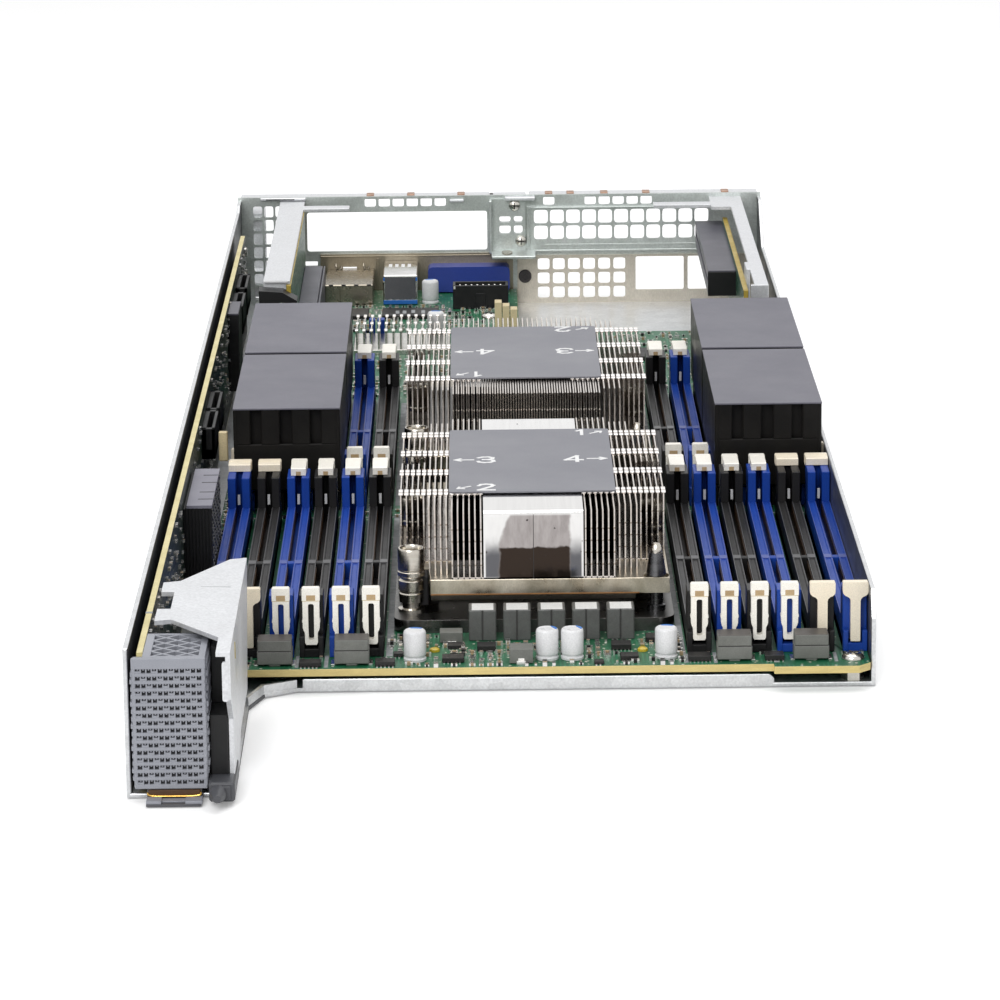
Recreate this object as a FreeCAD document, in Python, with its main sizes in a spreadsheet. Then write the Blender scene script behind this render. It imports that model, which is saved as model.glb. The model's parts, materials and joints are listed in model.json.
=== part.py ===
import FreeCAD, Part
import Sketcher
import os
import re

# Compute sled of a multi-node rack server, cover off, millimetres.
# x runs from the left wall to the right one, y from the plug end to the rear panel, z up from the tray.

doc = FreeCAD.newDocument("ComputeSled")

# Driving sizes. Lengths along x start at the outer face of the left wall,
# lengths along y start at the front edge of the main board, heights start at the tray underside.
SIZES = {
    # tray and panel
    "gauge": 1.2,
    "left_wall_top": 36.7,
    "right_wall_top": 24.7,
    "panel_top": 39.8,
    "adapter_bay": 10.0,
    "board_margin": 6.2,
    "outer_pitch": 8.4,
    "inner_pitch": 7.67,
    "bay_margin": 12.7,
    "board_edge_gap": 3.1,
    "wall_gap": 0.2,
    "nose_length": 85.0,
    "nose_width": 25.6,
    "nose_ramp": 14.0,
    "lip_inset": 1.3,
    "lip_height": 3.5,
    "lip_left": 38.5,
    "lip_length": 119.8,
    "wall_chamfer": 7.0,
    "gusset": 24.0,
    # boards
    "board_lift": 4.5,
    "board_thick": 2.0,
    "rear_zone": 174.7,
    "bay_depth": 74.0,
    "board_tongue": 88.0,
    "board_tab": 2.5,
    "board_tab_width": 24.6,
    "board_chamfer": 3.0,
    "panel_gap": 1.6,
    "adapter_gap": 1.8,
    "adapter_thick": 1.6,
    "adapter_bottom": 1.6,
    "adapter_top": 35.0,
    "adapter_inset": 3.0,
    "adapter_rear_gap": 44.0,
    # memory sockets
    "bank_front": 10.5,
    "socket_length": 141.0,
    "bank_gap": 11.8,
    "socket_width": 6.2,
    "rail_height": 7.5,
    "tower_height": 15.8,
    "tower_length": 11.0,
    "tower_near": 7.0,
    "socket_inset": 2.7,
    "cheek_height": 5.5,
    "slot_width": 1.8,
    "slot_floor": 3.0,
    "slot_inset": 3.7,
    "key_from": 66.0,
    "key_width": 2.5,
    # latches
    "latch_thick": 2.4,
    "latch_foot": 2.7,
    "latch_height": 18.3,
    "latch_stem": 3.4,
    "latch_shoulder": 6.5,
    "latch_frame": 5.2,
    "latch_head": 3.3,
    "latch_head_wide": 6.0,
    "latch_hook": 2.6,
    "latch_hook_tall": 2.2,
    "latch_window": 2.2,
    "latch_window_from": 7.4,
    "latch_window_tall": 6.6,
    # covers over the outer four columns of the rear bank
    "cover_wall": 1.0,
    "cover_top": 38.0,
    "cover_reach": 2.3,
    "cover_width": 30.6,
    "cover_front_gap": 5.5,
    "cover_rear_gap": 1.6,
    "cover_split": 0.7,
    "cover_notch": 18.5,
    "cover_notch_top": 26.0,
    "cover_slit": 4.0,
    "cover_slit_tall": 9.4,
    # heat sinks
    "sink_shift": 10.2,
    "sink_back": 5.3,
    "sink_width": 71.0,
    "sink_length": 105.8,
    "wing_length": 71.0,
    "sink_bottom": 15.0,
    "sink_base": 4.2,
    "sink_top": 38.0,
    "core_width": 26.0,
    "core_margin": 0.4,
    "stack_width": 44.0,
    "fin_pitch": 1.5,
    "fin_thick": 0.45,
    "web_thick": 0.6,
    "tab_width": 5.5,
    "tab_thick": 0.5,
    "plate_thick": 0.4,
    "corner_cut_x": 8.4,
    "corner_cut_y": 11.5,
    "nut_side": 3.5,
    "nut_inset": 4.9,
    "nut_mid": 4.2,
    "nut_radius": 3.6,
    "nut_top": 26.7,
    "stud_radius": 2.0,
    "driver_radius": 4.4,
    "post_inset": 2.4,
    "post_radius": 2.5,
    "post_top": 28.0,
    "post_hole": 3.3,
    "bolster_over": 2.0,
    "bolster_margin": 6.1,
    "bolster_thick": 3.5,
    "bolster_window_x": 56.0,
    "bolster_window_y": 79.0,
    "bolster_corner": 4.0,
    "cpu_socket_x": 54.0,
    "cpu_socket_y": 76.0,
    "cpu_socket_tall": 4.5,
    "cpu_x": 50.0,
    "cpu_y": 70.0,
    # regulator parts along the front edge
    "vrm_choke": 7.1,
    "vrm_depth": 7.5,
    "vrm_tall": 8.2,
    "vrm_gap": 0.5,
    "vrm_pitch": 8.92,
    "vrm_shift": 4.35,
    "dimm_choke": 8.9,
    "dimm_choke_depth": 6.4,
    "dimm_choke_tall": 6.8,
    "dimm_choke_front": 2.4,
    "can_radius": 2.9,
    "can_tall": 8.0,
    "can_row": 7.2,
    # plug end
    "plug_left": 2.1,
    "plug_width": 17.4,
    "plug_reach": 3.0,
    "plug_depth": 22.0,
    "plug_bottom": 3.2,
    "plug_top": 35.0,
    "plug_row": 1.81,
    "plug_ledge": 0.7,
    "plug_row_first": 4.3,
    "plug_row_tall": 1.0,
    "plug_side": 0.9,
    "power_left": 5.0,
    "power_width": 13.0,
    "power_wall": 0.45,
    "power_lip": 4.0,
    "power_mouth": 9.0,
    "peg_x": 22.0,
    "peg_radius": 1.9,
    "peg_tip": 0.9,
    "peg_straight": 5.4,
    "peg_height": 3.3,
    "peg_reach": 12.0,
    "peg_block_reach": 3.4,
    "peg_block_length": 26.4,
    "peg_block_width": 4.6,
    "peg_block_tall": 5.4,
    "bracket_left": 6.2,
    "bracket_right": 25.6,
    "bracket_top": 37.6,
    "bracket_reach": 7.0,
    "bracket_rear": 6.5,
    "bracket_tongue": 3.4,
    "bracket_neck_inset": 6.0,
    "bracket_shoulder_inset": 22.0,
    "bracket_ear": 10.0,
    "bracket_middle": 10.2,
    "bracket_crest": 21.4,
    "bracket_cut_inset": 31.5,
    "bracket_cut_length": 15.5,
    "bracket_cut": 3.2,
    "bracket_foot_inset": 1.0,
    "bracket_foot_length": 24.0,
    "bracket_low": 7.0,
    "bracket_sill": 26.0,
    "bracket_heel": 19.0,
    "ribbed_inset": 63.1,
    "ribbed_length": 41.4,
    "ribbed_tall": 22.0,
    "ribbed_depth": 7.8,
    "ribbed_bottom": 8.0,
    "ribbed_rib": 1.0,
    "side_plug_length": 24.0,
    "side_plug_depth": 3.8,
    "side_plug_tall": 9.0,
    "side_plug_bottom": 22.0,
    "side_plug_gap": 30.0,
    # rear panel
    "slot_left": 24.2,
    "slot_width_x": 63.5,
    "slot_bottom": 20.3,
    "slot_tall": 14.0,
    "blank_left": 101.8,
    "blank_width": 72.0,
    "blank_window": 66.0,
    "blank_bottom": 19.6,
    "blank_tall": 16.0,
    "blank_pitch": 5.66,
    "blank_hole": 4.9,
    "blank_first": 4.4,
    "blank_margin": 2.4,
    "blank_sill": 2.4,
    "vent_pitch_x": 3.9,
    "vent_pitch_z": 4.85,
    "vent_hole_x": 3.2,
    "vent_hole_z": 4.0,
    "vent_left": 5.3,
    "vent_bottom": 3.6,
    "top_hole": 4.0,
    "top_hole_tall": 2.6,
    "top_hole_bottom": 35.6,
    "top_pitch": 4.93,
    "top_left": 44.6,
    "top_right": 122.1,
    "top_single": 107.5,
    "flange_depth": 10.0,
    "port_plate_left": 28.7,
    "port_plate_width": 68.0,
    "port_plate_top": 19.4,
    "plate_thin": 1.0,
    "port_window_margin": 0.4,
    "port_window_bottom": 4.2,
    "port_fit": 0.3,
    "bay_plate_left": 98.2,
    "bay_hole": 4.2,
    "bay_pitch": 5.35,
    "bay_first_x": 105.4,
    "bay_first_z": 3.0,
    "bay_window_left": 140.0,
    "bay_window_width": 17.0,
    "bay_window_gap": 1.4,
    "bay_window_second": 12.0,
    "bay_window_bottom": 5.5,
    "bay_window_tall": 12.0,
    "bay_round_x": 101.4,
    "bay_round_z": 10.7,
    "bay_round_radius": 2.3,
    "bay_panel_left": 104.4,
    "bay_panel_width": 66.5,
    "bay_panel_bottom": 2.6,
    "bay_panel_tall": 15.4,
    "post_left": 88.4,
    "post_width": 12.8,
    "post_foot": 13.0,
    "post_window": 3.4,
    "post_window_pitch": 4.6,
    # ports
    "lan_left": 30.6,
    "lan_width": 16.6,
    "lan_depth": 26.8,
    "lan_tall": 11.4,
    "lan_mouth_x": 12.0,
    "lan_mouth_z": 8.4,
    "lan_mouth_deep": 14.0,
    "usb_left": 51.0,
    "usb_width": 12.8,
    "usb_depth": 27.8,
    "usb_tall": 12.4,
    "usb_wall": 0.5,
    "usb_mouth_deep": 16.0,
    "usb_tongue": 1.4,
    "vga_left": 67.0,
    "vga_width": 28.4,
    "vga_depth": 18.6,
    "vga_tall": 11.6,
    "vga_shell_x": 17.0,
    "vga_shell_z": 8.2,
    "vga_shell_wall": 0.6,
    "vga_shell_lean": 1.4,
    "jack_radius": 2.3,
    "jack_hole": 1.3,
    "jack_spacing": 24.99,
    "port_reach": 1.0,
    "shell_reach": 5.0,
    "jack_reach": 4.0,
    # risers
    "riser_left_x": 22.4,
    "riser_thick": 1.6,
    "riser_right_inset": 13.0,
    "riser_gap": 32.7,
    "riser_rear_gap": 15.6,
    "riser_socket_tall": 7.5,
    "riser_socket_x": 6.0,
    "riser_socket_inset": 3.0,
    "riser_socket_length": 60.0,
    "riser_right_top": 34.0,
    "riser_slot_x": 9.2,
    "riser_slot_over": 4.0,
    "riser_slot_length": 89.0,
    "riser_slot_bottom": 23.6,
    "riser_slot_tall": 8.4,
    "riser_slot_gap": 1.8,
    "riser_slot_deep": 7.0,
    "bar_left": 15.0,
    "bar_width": 8.6,
    "bar_gap": 33.7,
    "bar_lip": 3.0,
    "bar_tab": 12.0,
    "bar_arm": 16.0,
    "bar_arm_depth": 6.0,
    "arm_width": 4.4,
    "arm_head": 8.0,
    "arm_head_depth": 20.0,
    "arm_gap": 18.7,
    # small board parts
    "header_left": 80.0,
    "header_width": 16.0,
    "header_gap": 33.0,
    "header_depth": 8.0,
    "header_tall": 7.0,
    "header_slot": 2.0,
    "jumper_left": 89.8,
    "jumper_gap": 67.0,
    "jumper_pitch": 2.64,
    "jumper_width": 2.4,
    "jumper_tall": 9.0,
    "chip_tall": 1.2,
    "expansion_left": 24.2,
    "expansion_width": 7.4,
    "expansion_tall": 13.5,
    "expansion_gap": 68.0,
    "expansion_length": 41.0,
    "expansion_slot": 2.0,
    # fasteners
    "standoff_radius": 3.0,
    "screw_hole": 1.8,
    "screw_radius": 1.5,
    "screw_head": 2.9,
    "screw_head_tall": 1.7,
    "panel_screw_head": 2.1,
    "panel_screw_tall": 1.4,
    # rear handle and release lever
    "handle_x": 2.4,
    "handle_width": 6.4,
    "handle_reach": 22.0,
    "handle_bottom": 4.0,
    "handle_tall": 30.0,
    "handle_bar": 5.0,
    "handle_round": 4.0,
    "lever_inset": 11.0,
    "lever_bottom": 6.0,
    "lever_tall": 9.0,
    "lever_ear": 1.5,
    "lever_ear_width": 9.0,
    "lever_ear_reach": 9.0,
    "lever_pin_reach": 5.3,
    "lever_pin_radius": 1.5,
    "lever_hole_radius": 1.8,
    "lever_hub_radius": 3.4,
    "lever_arm_thick": 3.0,
    "lever_arm_reach": 21.0,
    "lever_side_gap": 0.2,
}

# Positions that follow from the driving sizes.
LAYOUT = {
    "centre_bay": "sink_width + bay_margin",
    "nut_x": "sink_width / 2 - nut_side",
    "bolster_width": "sink_width + bolster_over",
    "adapter_front": "nose_length - adapter_inset",
    "plug_front": "nose_length + plug_reach",
    "plug_rear": "plug_front - plug_depth",
    "peg_front": "nose_length + peg_reach",
    "peg_block_front": "nose_length + peg_block_reach",
    "bracket_front": "nose_length + bracket_reach",
    "bracket_neck": "nose_length - bracket_neck_inset",
    "bracket_shoulder": "nose_length - bracket_shoulder_inset",
    "bracket_cut_front": "nose_length - bracket_cut_inset",
    "bracket_cut_rear": "bracket_cut_front - bracket_cut_length",
    "bracket_rise": "bracket_cut_rear - bracket_ear",
    "bracket_foot_front": "nose_length - bracket_foot_inset",
    "bracket_foot_rear": "bracket_foot_front - bracket_foot_length",
    "column_1": "adapter_bay + board_margin",
    "column_2": "column_1 + outer_pitch",
    "column_3": "column_2 + outer_pitch",
    "column_4": "column_3 + inner_pitch",
    "column_5": "column_4 + inner_pitch",
    "column_6": "column_5 + inner_pitch",
    "column_7": "column_6 + centre_bay",
    "column_8": "column_7 + inner_pitch",
    "column_9": "column_8 + inner_pitch",
    "column_10": "column_9 + inner_pitch",
    "column_11": "column_10 + outer_pitch",
    "column_12": "column_11 + outer_pitch",
    "board_right": "column_12 + board_edge_gap",
    "wall_inner": "board_right + wall_gap",
    "tray_width": "wall_inner + gauge",
    "centre_x": "column_6 + centre_bay / 2",
    "board_top": "board_lift + board_thick",
    "bank_rear": "bank_front + socket_length + bank_gap",
    "bank_end": "bank_rear + socket_length",
    "board_length": "bank_end + rear_zone",
    "board_step": "board_length - bay_depth",
    "panel_face": "board_length + panel_gap",
    "panel_back": "panel_face + gauge",
    "front_end": "-peg_front",
    "rear_end": "panel_back + handle_reach",
    "shift_x": "-tray_width / 2",
    "shift_y": "-(front_end + rear_end) / 2",
    "adapter_x": "gauge + adapter_gap",
    "adapter_face": "adapter_x + adapter_thick",
    "adapter_rear": "board_length - adapter_rear_gap",
    "pivot_z": "board_top + latch_foot + latch_thick / 3",
    "fin_bottom": "sink_bottom + sink_base",
    "fin_top": "sink_top - tab_thick",
    "sink_front": "bank_front + socket_length / 2 + sink_shift",
    "sink_rear": "bank_rear + socket_length / 2 - sink_back",
    "nut_y": "sink_length / 2 - nut_inset",
    "post_y": "sink_length / 2 - post_inset",
    "bolster_length": "sink_length + 2 * bolster_margin",
    "vrm_front": "sink_front - bolster_length / 2 - vrm_gap - vrm_depth",
    "ribbed_front": "bank_front + ribbed_inset",
    "cover_front": "bank_rear - cover_front_gap",
    "cover_rear": "bank_end + cover_rear_gap",
    "cover_middle": "(cover_front + cover_rear) / 2",
    "rail_top": "board_top + rail_height",
    "riser_right_x": "wall_inner - riser_right_inset",
    "riser_socket_top": "board_top + riser_socket_tall",
    "riser_front": "bank_end + riser_gap",
    "riser_rear": "panel_face - riser_rear_gap",
    "riser_socket_front": "riser_front + riser_socket_inset",
    "riser_slot_front": "riser_rear + riser_slot_over - riser_slot_length",
    "bar_front": "bank_end + bar_gap",
    "arm_front": "bank_end + arm_gap",
    "lan_front": "panel_back + port_reach - lan_depth",
    "usb_front": "panel_back + port_reach - usb_depth",
    "vga_front": "panel_face - vga_depth",
    "header_front": "board_length - header_gap",
    "jumper_front": "board_length - jumper_gap",
    "expansion_front": "board_length - expansion_gap",
    "flange_bottom": "panel_top - gauge",
    "arm_bottom": "flange_bottom - gauge",
    "lever_x": "tray_width - lever_inset",
    "lever_y": "panel_back + lever_pin_reach",
}


def write_sheet(name, rows):
    """Fills a sheet with one named value per row."""
    sheet = doc.addObject("Spreadsheet::Sheet", name)
    for row, (alias, value) in enumerate(rows.items(), start=1):
        sheet.set(f"A{row}", alias)
        sheet.set(f"B{row}", value)
        sheet.setAlias(f"B{row}", alias)
    return sheet


def full(text):
    """An expression in plain names, with each name led to its sheet."""

    def place(found):
        word = found.group(0)
        if word in SIZES:
            return "Sizes." + word
        if word in LAYOUT:
            return "Layout." + word
        return word

    return re.sub(r"[a-z_][a-z_0-9]*", place, str(text))


sizes = write_sheet("Sizes", {alias: str(value) for alias, value in SIZES.items()})
layout = write_sheet("Layout", {alias: "=" + full(text) for alias, text in LAYOUT.items()})
doc.recompute()

nodes = []


def node(item, label):
    """Marks an object as a finished sub-part."""
    item.Label = label
    nodes.append(item)
    return item


def bind_base(item, corner):
    """Ties an object's position to the sheets."""
    x_text, y_text, z_text = corner
    item.setExpression("Placement.Base.x", full(f"shift_x + ({x_text})"))
    item.setExpression("Placement.Base.y", full(f"shift_y + ({y_text})"))
    item.setExpression("Placement.Base.z", full(z_text))


def box(corner, size):
    """A block from its low corner and its three lengths."""
    item = doc.addObject("Part::Box", "Block")
    for name, text in zip(("Length", "Width", "Height"), size):
        item.setExpression(name, full(text))
    bind_base(item, corner)
    return item


TURNS = {
    "z": FreeCAD.Rotation(),
    "y": FreeCAD.Rotation(FreeCAD.Vector(1, 0, 0), -90),
    "x": FreeCAD.Rotation(FreeCAD.Vector(0, 1, 0), 90),
}


def rod(start, radius, length, axis="z"):
    """A cylinder that starts at a point and runs along one axis."""
    item = doc.addObject("Part::Cylinder", "Rod")
    item.Placement = FreeCAD.Placement(FreeCAD.Vector(), TURNS[axis])
    item.setExpression("Radius", full(radius))
    item.setExpression("Height", full(length))
    bind_base(item, start)
    return item


def hexagon(start, radius, length):
    """An upright prism with six sides."""
    item = doc.addObject("Part::Prism", "Hexagon")
    item.Polygon = 6
    item.setExpression("Circumradius", full(radius))
    item.setExpression("Height", full(length))
    bind_base(item, start)
    return item


def taper(start, radius, tip, length, axis="z"):
    """A cone that starts at a point and narrows along one axis."""
    item = doc.addObject("Part::Cone", "Taper")
    item.Placement = FreeCAD.Placement(FreeCAD.Vector(), TURNS[axis])
    item.setExpression("Radius1", full(radius))
    item.setExpression("Radius2", full(tip))
    item.setExpression("Height", full(length))
    bind_base(item, start)
    return item


def joined(items):
    """Several overlapping or touching blocks as one solid."""
    if len(items) == 1:
        return items[0]
    item = doc.addObject("Part::MultiFuse", "Joined")
    item.Shapes = items
    item.Refine = True
    return item


def less(base, tools):
    """A solid with other solids taken out of it."""
    item = doc.addObject("Part::Cut", "Less")
    item.Base = base
    item.Tool = together(tools)
    item.Refine = True
    return item


def together(items):
    """Separate solids kept in one group."""
    if len(items) == 1:
        return items[0]
    item = doc.addObject("Part::Compound", "Group")
    item.Links = items
    return item


PLANES = {"XY": "XY_Plane", "XZ": "XZ_Plane", "YZ": "YZ_Plane"}


def new_body(name):
    """A body whose own origin is the tray's left front reference."""
    item = doc.addObject("PartDesign::Body", name)
    bind_base(item, ("0", "0", "0"))
    return item


def outline(body, plane, level, loops):
    """A sketch of closed outlines whose corners are tied to the sheets."""
    sketch = body.newObject("Sketcher::SketchObject", "Outline")
    role = PLANES[plane]
    base = next(feature for feature in body.Origin.OriginFeatures if feature.Role == role)
    sketch.AttachmentSupport = [(base, "")]
    sketch.MapMode = "FlatFace"
    sign = "-" if plane == "XZ" else ""
    sketch.setExpression("AttachmentOffset.Base.z", full(f"{sign}({level})"))
    for loop in loops:
        add_loop(sketch, loop)
    return sketch


def add_loop(sketch, loop):
    """One closed polygon: corners given as pairs of expressions."""
    first = sketch.GeometryCount
    count = len(loop)
    points = [FreeCAD.Vector(value(a_text), value(b_text), 0) for a_text, b_text in loop]
    for index in range(count):
        sketch.addGeometry(Part.LineSegment(points[index], points[(index + 1) % count]))
    for index in range(count):
        after = first + (index + 1) % count
        sketch.addConstraint(Sketcher.Constraint("Coincident", first + index, 2, after, 1))
    for index, texts in enumerate(loop):
        kinds = zip(("DistanceX", "DistanceY"), texts, (points[index].x, points[index].y))
        for kind, text, now in kinds:
            rule = Sketcher.Constraint(kind, -1, 1, first + index, 1, now)
            number = sketch.addConstraint(rule)
            sketch.setExpression(f"Constraints[{number}]", full(text))


def value(text):
    """The present value of an expression."""
    return float(sizes.evalExpression(full(text)))


def pad(body, plane, level, loops, length):
    """Adds an outline, drawn out towards the positive side of its plane's axis."""
    item = body.newObject("PartDesign::Pad", "Pad")
    item.Profile = outline(body, plane, level, loops)
    item.setExpression("Length", full(length))
    item.Reversed = plane == "XZ"
    body.Tip = item
    return item


def rect(left, low, wide, tall):
    """The corners of a rectangle from its low corner and its lengths."""
    right, high = f"{left} + {wide}", f"{low} + {tall}"
    return [(left, low), (right, low), (right, high), (left, high)]


# Tray: floor with a nose on the left, a tall left wall, a low right wall and a front lip.
tray = new_body("Tray")
pad(tray, "XY", "0", [[
    ("0", "-nose_length"),
    ("nose_width", "-nose_length"),
    ("nose_width", "-nose_ramp"),
    ("nose_width + nose_ramp / 4", "lip_inset - nose_ramp / 3"),
    ("lip_left - gauge", "lip_inset"),
    ("tray_width", "lip_inset"),
    ("tray_width", "panel_face"),
    ("0", "panel_face"),
]], "gauge")
pad(tray, "YZ", "0", [[
    ("-nose_length", "0"),
    ("panel_face", "0"),
    ("panel_face", "flange_bottom"),
    ("panel_face - gusset / 3", "flange_bottom"),
    ("panel_face - gusset / 2", "left_wall_top"),
    ("-nose_length", "left_wall_top"),
]], "gauge")
pad(tray, "YZ", "wall_inner", [[
    ("lip_inset", "0"),
    ("panel_face", "0"),
    ("panel_face", "flange_bottom"),
    ("panel_face - gusset / 3", "flange_bottom"),
    ("panel_face - gusset", "right_wall_top"),
    ("lip_inset + wall_chamfer / 2", "right_wall_top"),
    ("lip_inset", "right_wall_top - wall_chamfer"),
]], "gauge")
pad(tray, "XZ", "lip_inset", [[
    ("lip_left", "0"),
    ("lip_left + lip_length", "0"),
    ("lip_left + lip_length", "lip_height - gauge"),
    ("lip_left + lip_length - gauge", "lip_height"),
    ("lip_left", "lip_height"),
]], "gauge")
node(tray, "tray")


# Rear panel: card slot, blanked slot, port window, network bay, vents and a top flange.
def grid(left, low, level, pitch_x, pitch_z, hole_x, hole_z, counts, depth):
    """Rows and columns of rectangular holes through an upright plate."""
    across, up = counts
    return [
        box((f"{left} + {column} * {pitch_x}", level, f"{low} + {row} * {pitch_z}"), (hole_x, depth, hole_z))
        for row in range(up)
        for column in range(across)
    ]


VENT_GRID = (4, 7)
TOP_HOLES_LEFT = 6
TOP_HOLES_RIGHT = 5
panel_sheet = joined([
    box(("0", "panel_face", "0"), ("tray_width", "gauge", "panel_top")),
    box(("0", "panel_face - flange_depth", "flange_bottom"), ("tray_width", "flange_depth + gauge", "gauge")),
])
panel_holes = grid(
    "vent_left", "vent_bottom", "panel_face", "vent_pitch_x", "vent_pitch_z",
    "vent_hole_x", "vent_hole_z", VENT_GRID, "gauge",
)
panel_holes += grid(
    "top_left", "top_hole_bottom", "panel_face", "top_pitch", "top_pitch",
    "top_hole", "top_hole_tall", (TOP_HOLES_LEFT, 1), "gauge",
)
panel_holes += grid(
    "top_right", "top_hole_bottom", "panel_face", "top_pitch", "top_pitch",
    "top_hole", "top_hole_tall", (TOP_HOLES_RIGHT, 1), "gauge",
)
panel_holes += [
    box(("top_single", "panel_face", "top_hole_bottom"), ("top_hole", "gauge", "top_hole_tall")),
    box(("slot_left", "panel_face", "slot_bottom"), ("slot_width_x", "gauge", "slot_tall")),
    box(
        ("blank_left + blank_margin / 2", "panel_face", "blank_bottom + blank_sill"),
        ("blank_window", "gauge", "slot_tall - gauge"),
    ),
    box(
        ("port_plate_left + port_window_margin", "panel_face", "port_window_bottom"),
        (
            "port_plate_width - 2 * port_window_margin",
            "gauge",
            "port_plate_top - port_window_bottom - port_fit",
        ),
    ),
    box(
        ("bay_panel_left", "panel_face", "bay_panel_bottom"),
        ("bay_panel_width", "gauge", "bay_panel_tall"),
    ),
]
node(less(panel_sheet, panel_holes), "rear_panel")

BLANK_GRID = (11, 2)
blank = box(
    ("blank_left", "panel_face - plate_thin", "blank_bottom"), ("blank_width", "plate_thin", "blank_tall")
)
blank_holes = grid(
    "blank_left + blank_margin", "blank_bottom + blank_first",
    "panel_face - plate_thin", "blank_pitch", "blank_pitch", "blank_hole", "blank_hole",
    BLANK_GRID, "plate_thin",
)
node(less(blank, blank_holes), "slot_blank")

port_plate = box(
    ("port_plate_left", "panel_face - plate_thin", "gauge"),
    ("port_plate_width", "plate_thin", "port_plate_top - gauge"),
)
port_holes = [
    box(
        (f"{name}_left - port_fit", "panel_face - plate_thin", "board_top - port_fit"),
        (f"{name}_width + 2 * port_fit", "plate_thin", f"{name}_tall + 2 * port_fit"),
    )
    for name in ("lan", "usb", "vga")
]
node(less(port_plate, port_holes), "port_plate")

BAY_GRID = (6, 3)
bay_plate = box(
    ("bay_plate_left", "panel_face - plate_thin", "gauge"),
    ("wall_inner - bay_plate_left", "plate_thin", "port_plate_top - 2 * gauge"),
)
bay_holes = grid(
    "bay_first_x", "bay_first_z", "panel_face - plate_thin", "bay_pitch", "bay_pitch",
    "bay_hole", "bay_hole", BAY_GRID, "plate_thin",
)
bay_holes += [
    box(
        ("bay_window_left", "panel_face - plate_thin", "bay_window_bottom"),
        ("bay_window_width", "plate_thin", "bay_window_tall"),
    ),
    box(
        (
            "bay_window_left + bay_window_width + bay_window_gap",
            "panel_face - plate_thin",
            "bay_window_bottom",
        ),
        ("bay_window_second", "plate_thin", "bay_window_tall"),
    ),
    rod(("bay_round_x", "panel_face - plate_thin", "bay_round_z"), "bay_round_radius", "plate_thin", "y"),
]
node(less(bay_plate, bay_holes), "network_bay_plate")

post_sheet = joined([
    box(
        ("post_left", "panel_face - gauge", "port_plate_top"),
        ("post_width", "gauge", "flange_bottom - port_plate_top"),
    ),
    box(("post_left", "panel_face - post_foot", "port_plate_top"), ("post_width", "post_foot", "gauge")),
])
post_holes = grid(
    "post_left + post_window", "(port_plate_top + flange_bottom) / 2 - post_window", "panel_face - gauge",
    "post_window_pitch", "post_window_pitch", "post_window", "post_window", (2, 2), "gauge",
)
node(less(post_sheet, post_holes), "centre_post")

# Main board: an L with a short front tab on the right and holes for its screws.
BOARD_SCREWS = [
    ("adapter_bay + standoff_radius + gauge", "standoff_radius + gauge"),
    ("board_right - board_chamfer - gauge", "standoff_radius + gauge"),
    ("centre_x - nut_x", "(sink_front + sink_rear) / 2"),
    ("centre_x + nut_x", "(sink_front + sink_rear) / 2"),
    ("board_right - standoff_radius - gauge", "board_step - board_margin"),
    ("board_tongue", "header_front - 2 * header_depth"),
]
board = new_body("MainBoard")
pad(board, "XY", "board_lift", [[
    ("adapter_bay", "0"),
    ("board_right - board_tab_width", "0"),
    ("board_right - board_tab_width", "-board_tab"),
    ("board_right - board_chamfer", "-board_tab"),
    ("board_right", "board_chamfer - board_tab"),
    ("board_right", "board_step"),
    ("adapter_bay + board_tongue", "board_step"),
    ("adapter_bay + board_tongue", "board_length"),
    ("adapter_bay", "board_length"),
]], "board_thick")
board_holes = [rod((x, y, "board_lift"), "screw_hole", "board_thick") for x, y in BOARD_SCREWS]
node(less(board, board_holes), "main_board")

standoffs = [hexagon((x, y, "gauge"), "standoff_radius", "board_lift - gauge") for x, y in BOARD_SCREWS]
ADAPTER_SPACERS = (
    "-nose_length / 2",
    "ribbed_front - side_plug_tall",
    "bank_end - side_plug_length",
    "board_step",
)
standoffs += [
    box(
        ("gauge", f"{y} - standoff_radius", "board_top"),
        ("adapter_gap", "2 * standoff_radius", "2 * standoff_radius"),
    )
    for y in ADAPTER_SPACERS
]
node(together(standoffs), "standoffs")

node(
    together([
        joined([
            rod((x, y, "board_lift"), "screw_radius", "board_thick"),
            rod((x, y, "board_top"), "screw_head", "screw_head_tall"),
        ])
        for x, y in BOARD_SCREWS
    ]),
    "board_screws",
)

# Vertical adapter board along the left wall, with the connectors on its inner side.
node(
    box(
        ("adapter_x", "-adapter_front", "adapter_bottom"),
        ("adapter_thick", "adapter_front + adapter_rear", "adapter_top - adapter_bottom"),
    ),
    "adapter_board",
)
RIBS = 5
ribbed = joined(
    [
        box(
            ("adapter_face", "ribbed_front", "ribbed_bottom"),
            ("ribbed_depth - ribbed_rib", "ribbed_length", "ribbed_tall"),
        )
    ]
    + [
        box(
            (
                "adapter_face",
                f"ribbed_front + {rib} * (ribbed_length - 2 * ribbed_rib) / {RIBS - 1}",
                "ribbed_bottom",
            ),
            ("ribbed_depth", "2 * ribbed_rib", "ribbed_tall + ribbed_rib"),
        )
        for rib in range(RIBS)
    ]
)
SIDE_PLUGS = (
    "bank_rear",
    "bank_rear + side_plug_length + gauge",
    "bank_end + side_plug_gap",
    "bank_end + 2 * side_plug_gap",
)
side_plugs = [
    box(
        ("adapter_face", y, "side_plug_bottom"),
        ("side_plug_depth", "side_plug_length", "side_plug_tall"),
    )
    for y in SIDE_PLUGS
]
node(together([ribbed] + side_plugs), "adapter_sockets")

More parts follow.
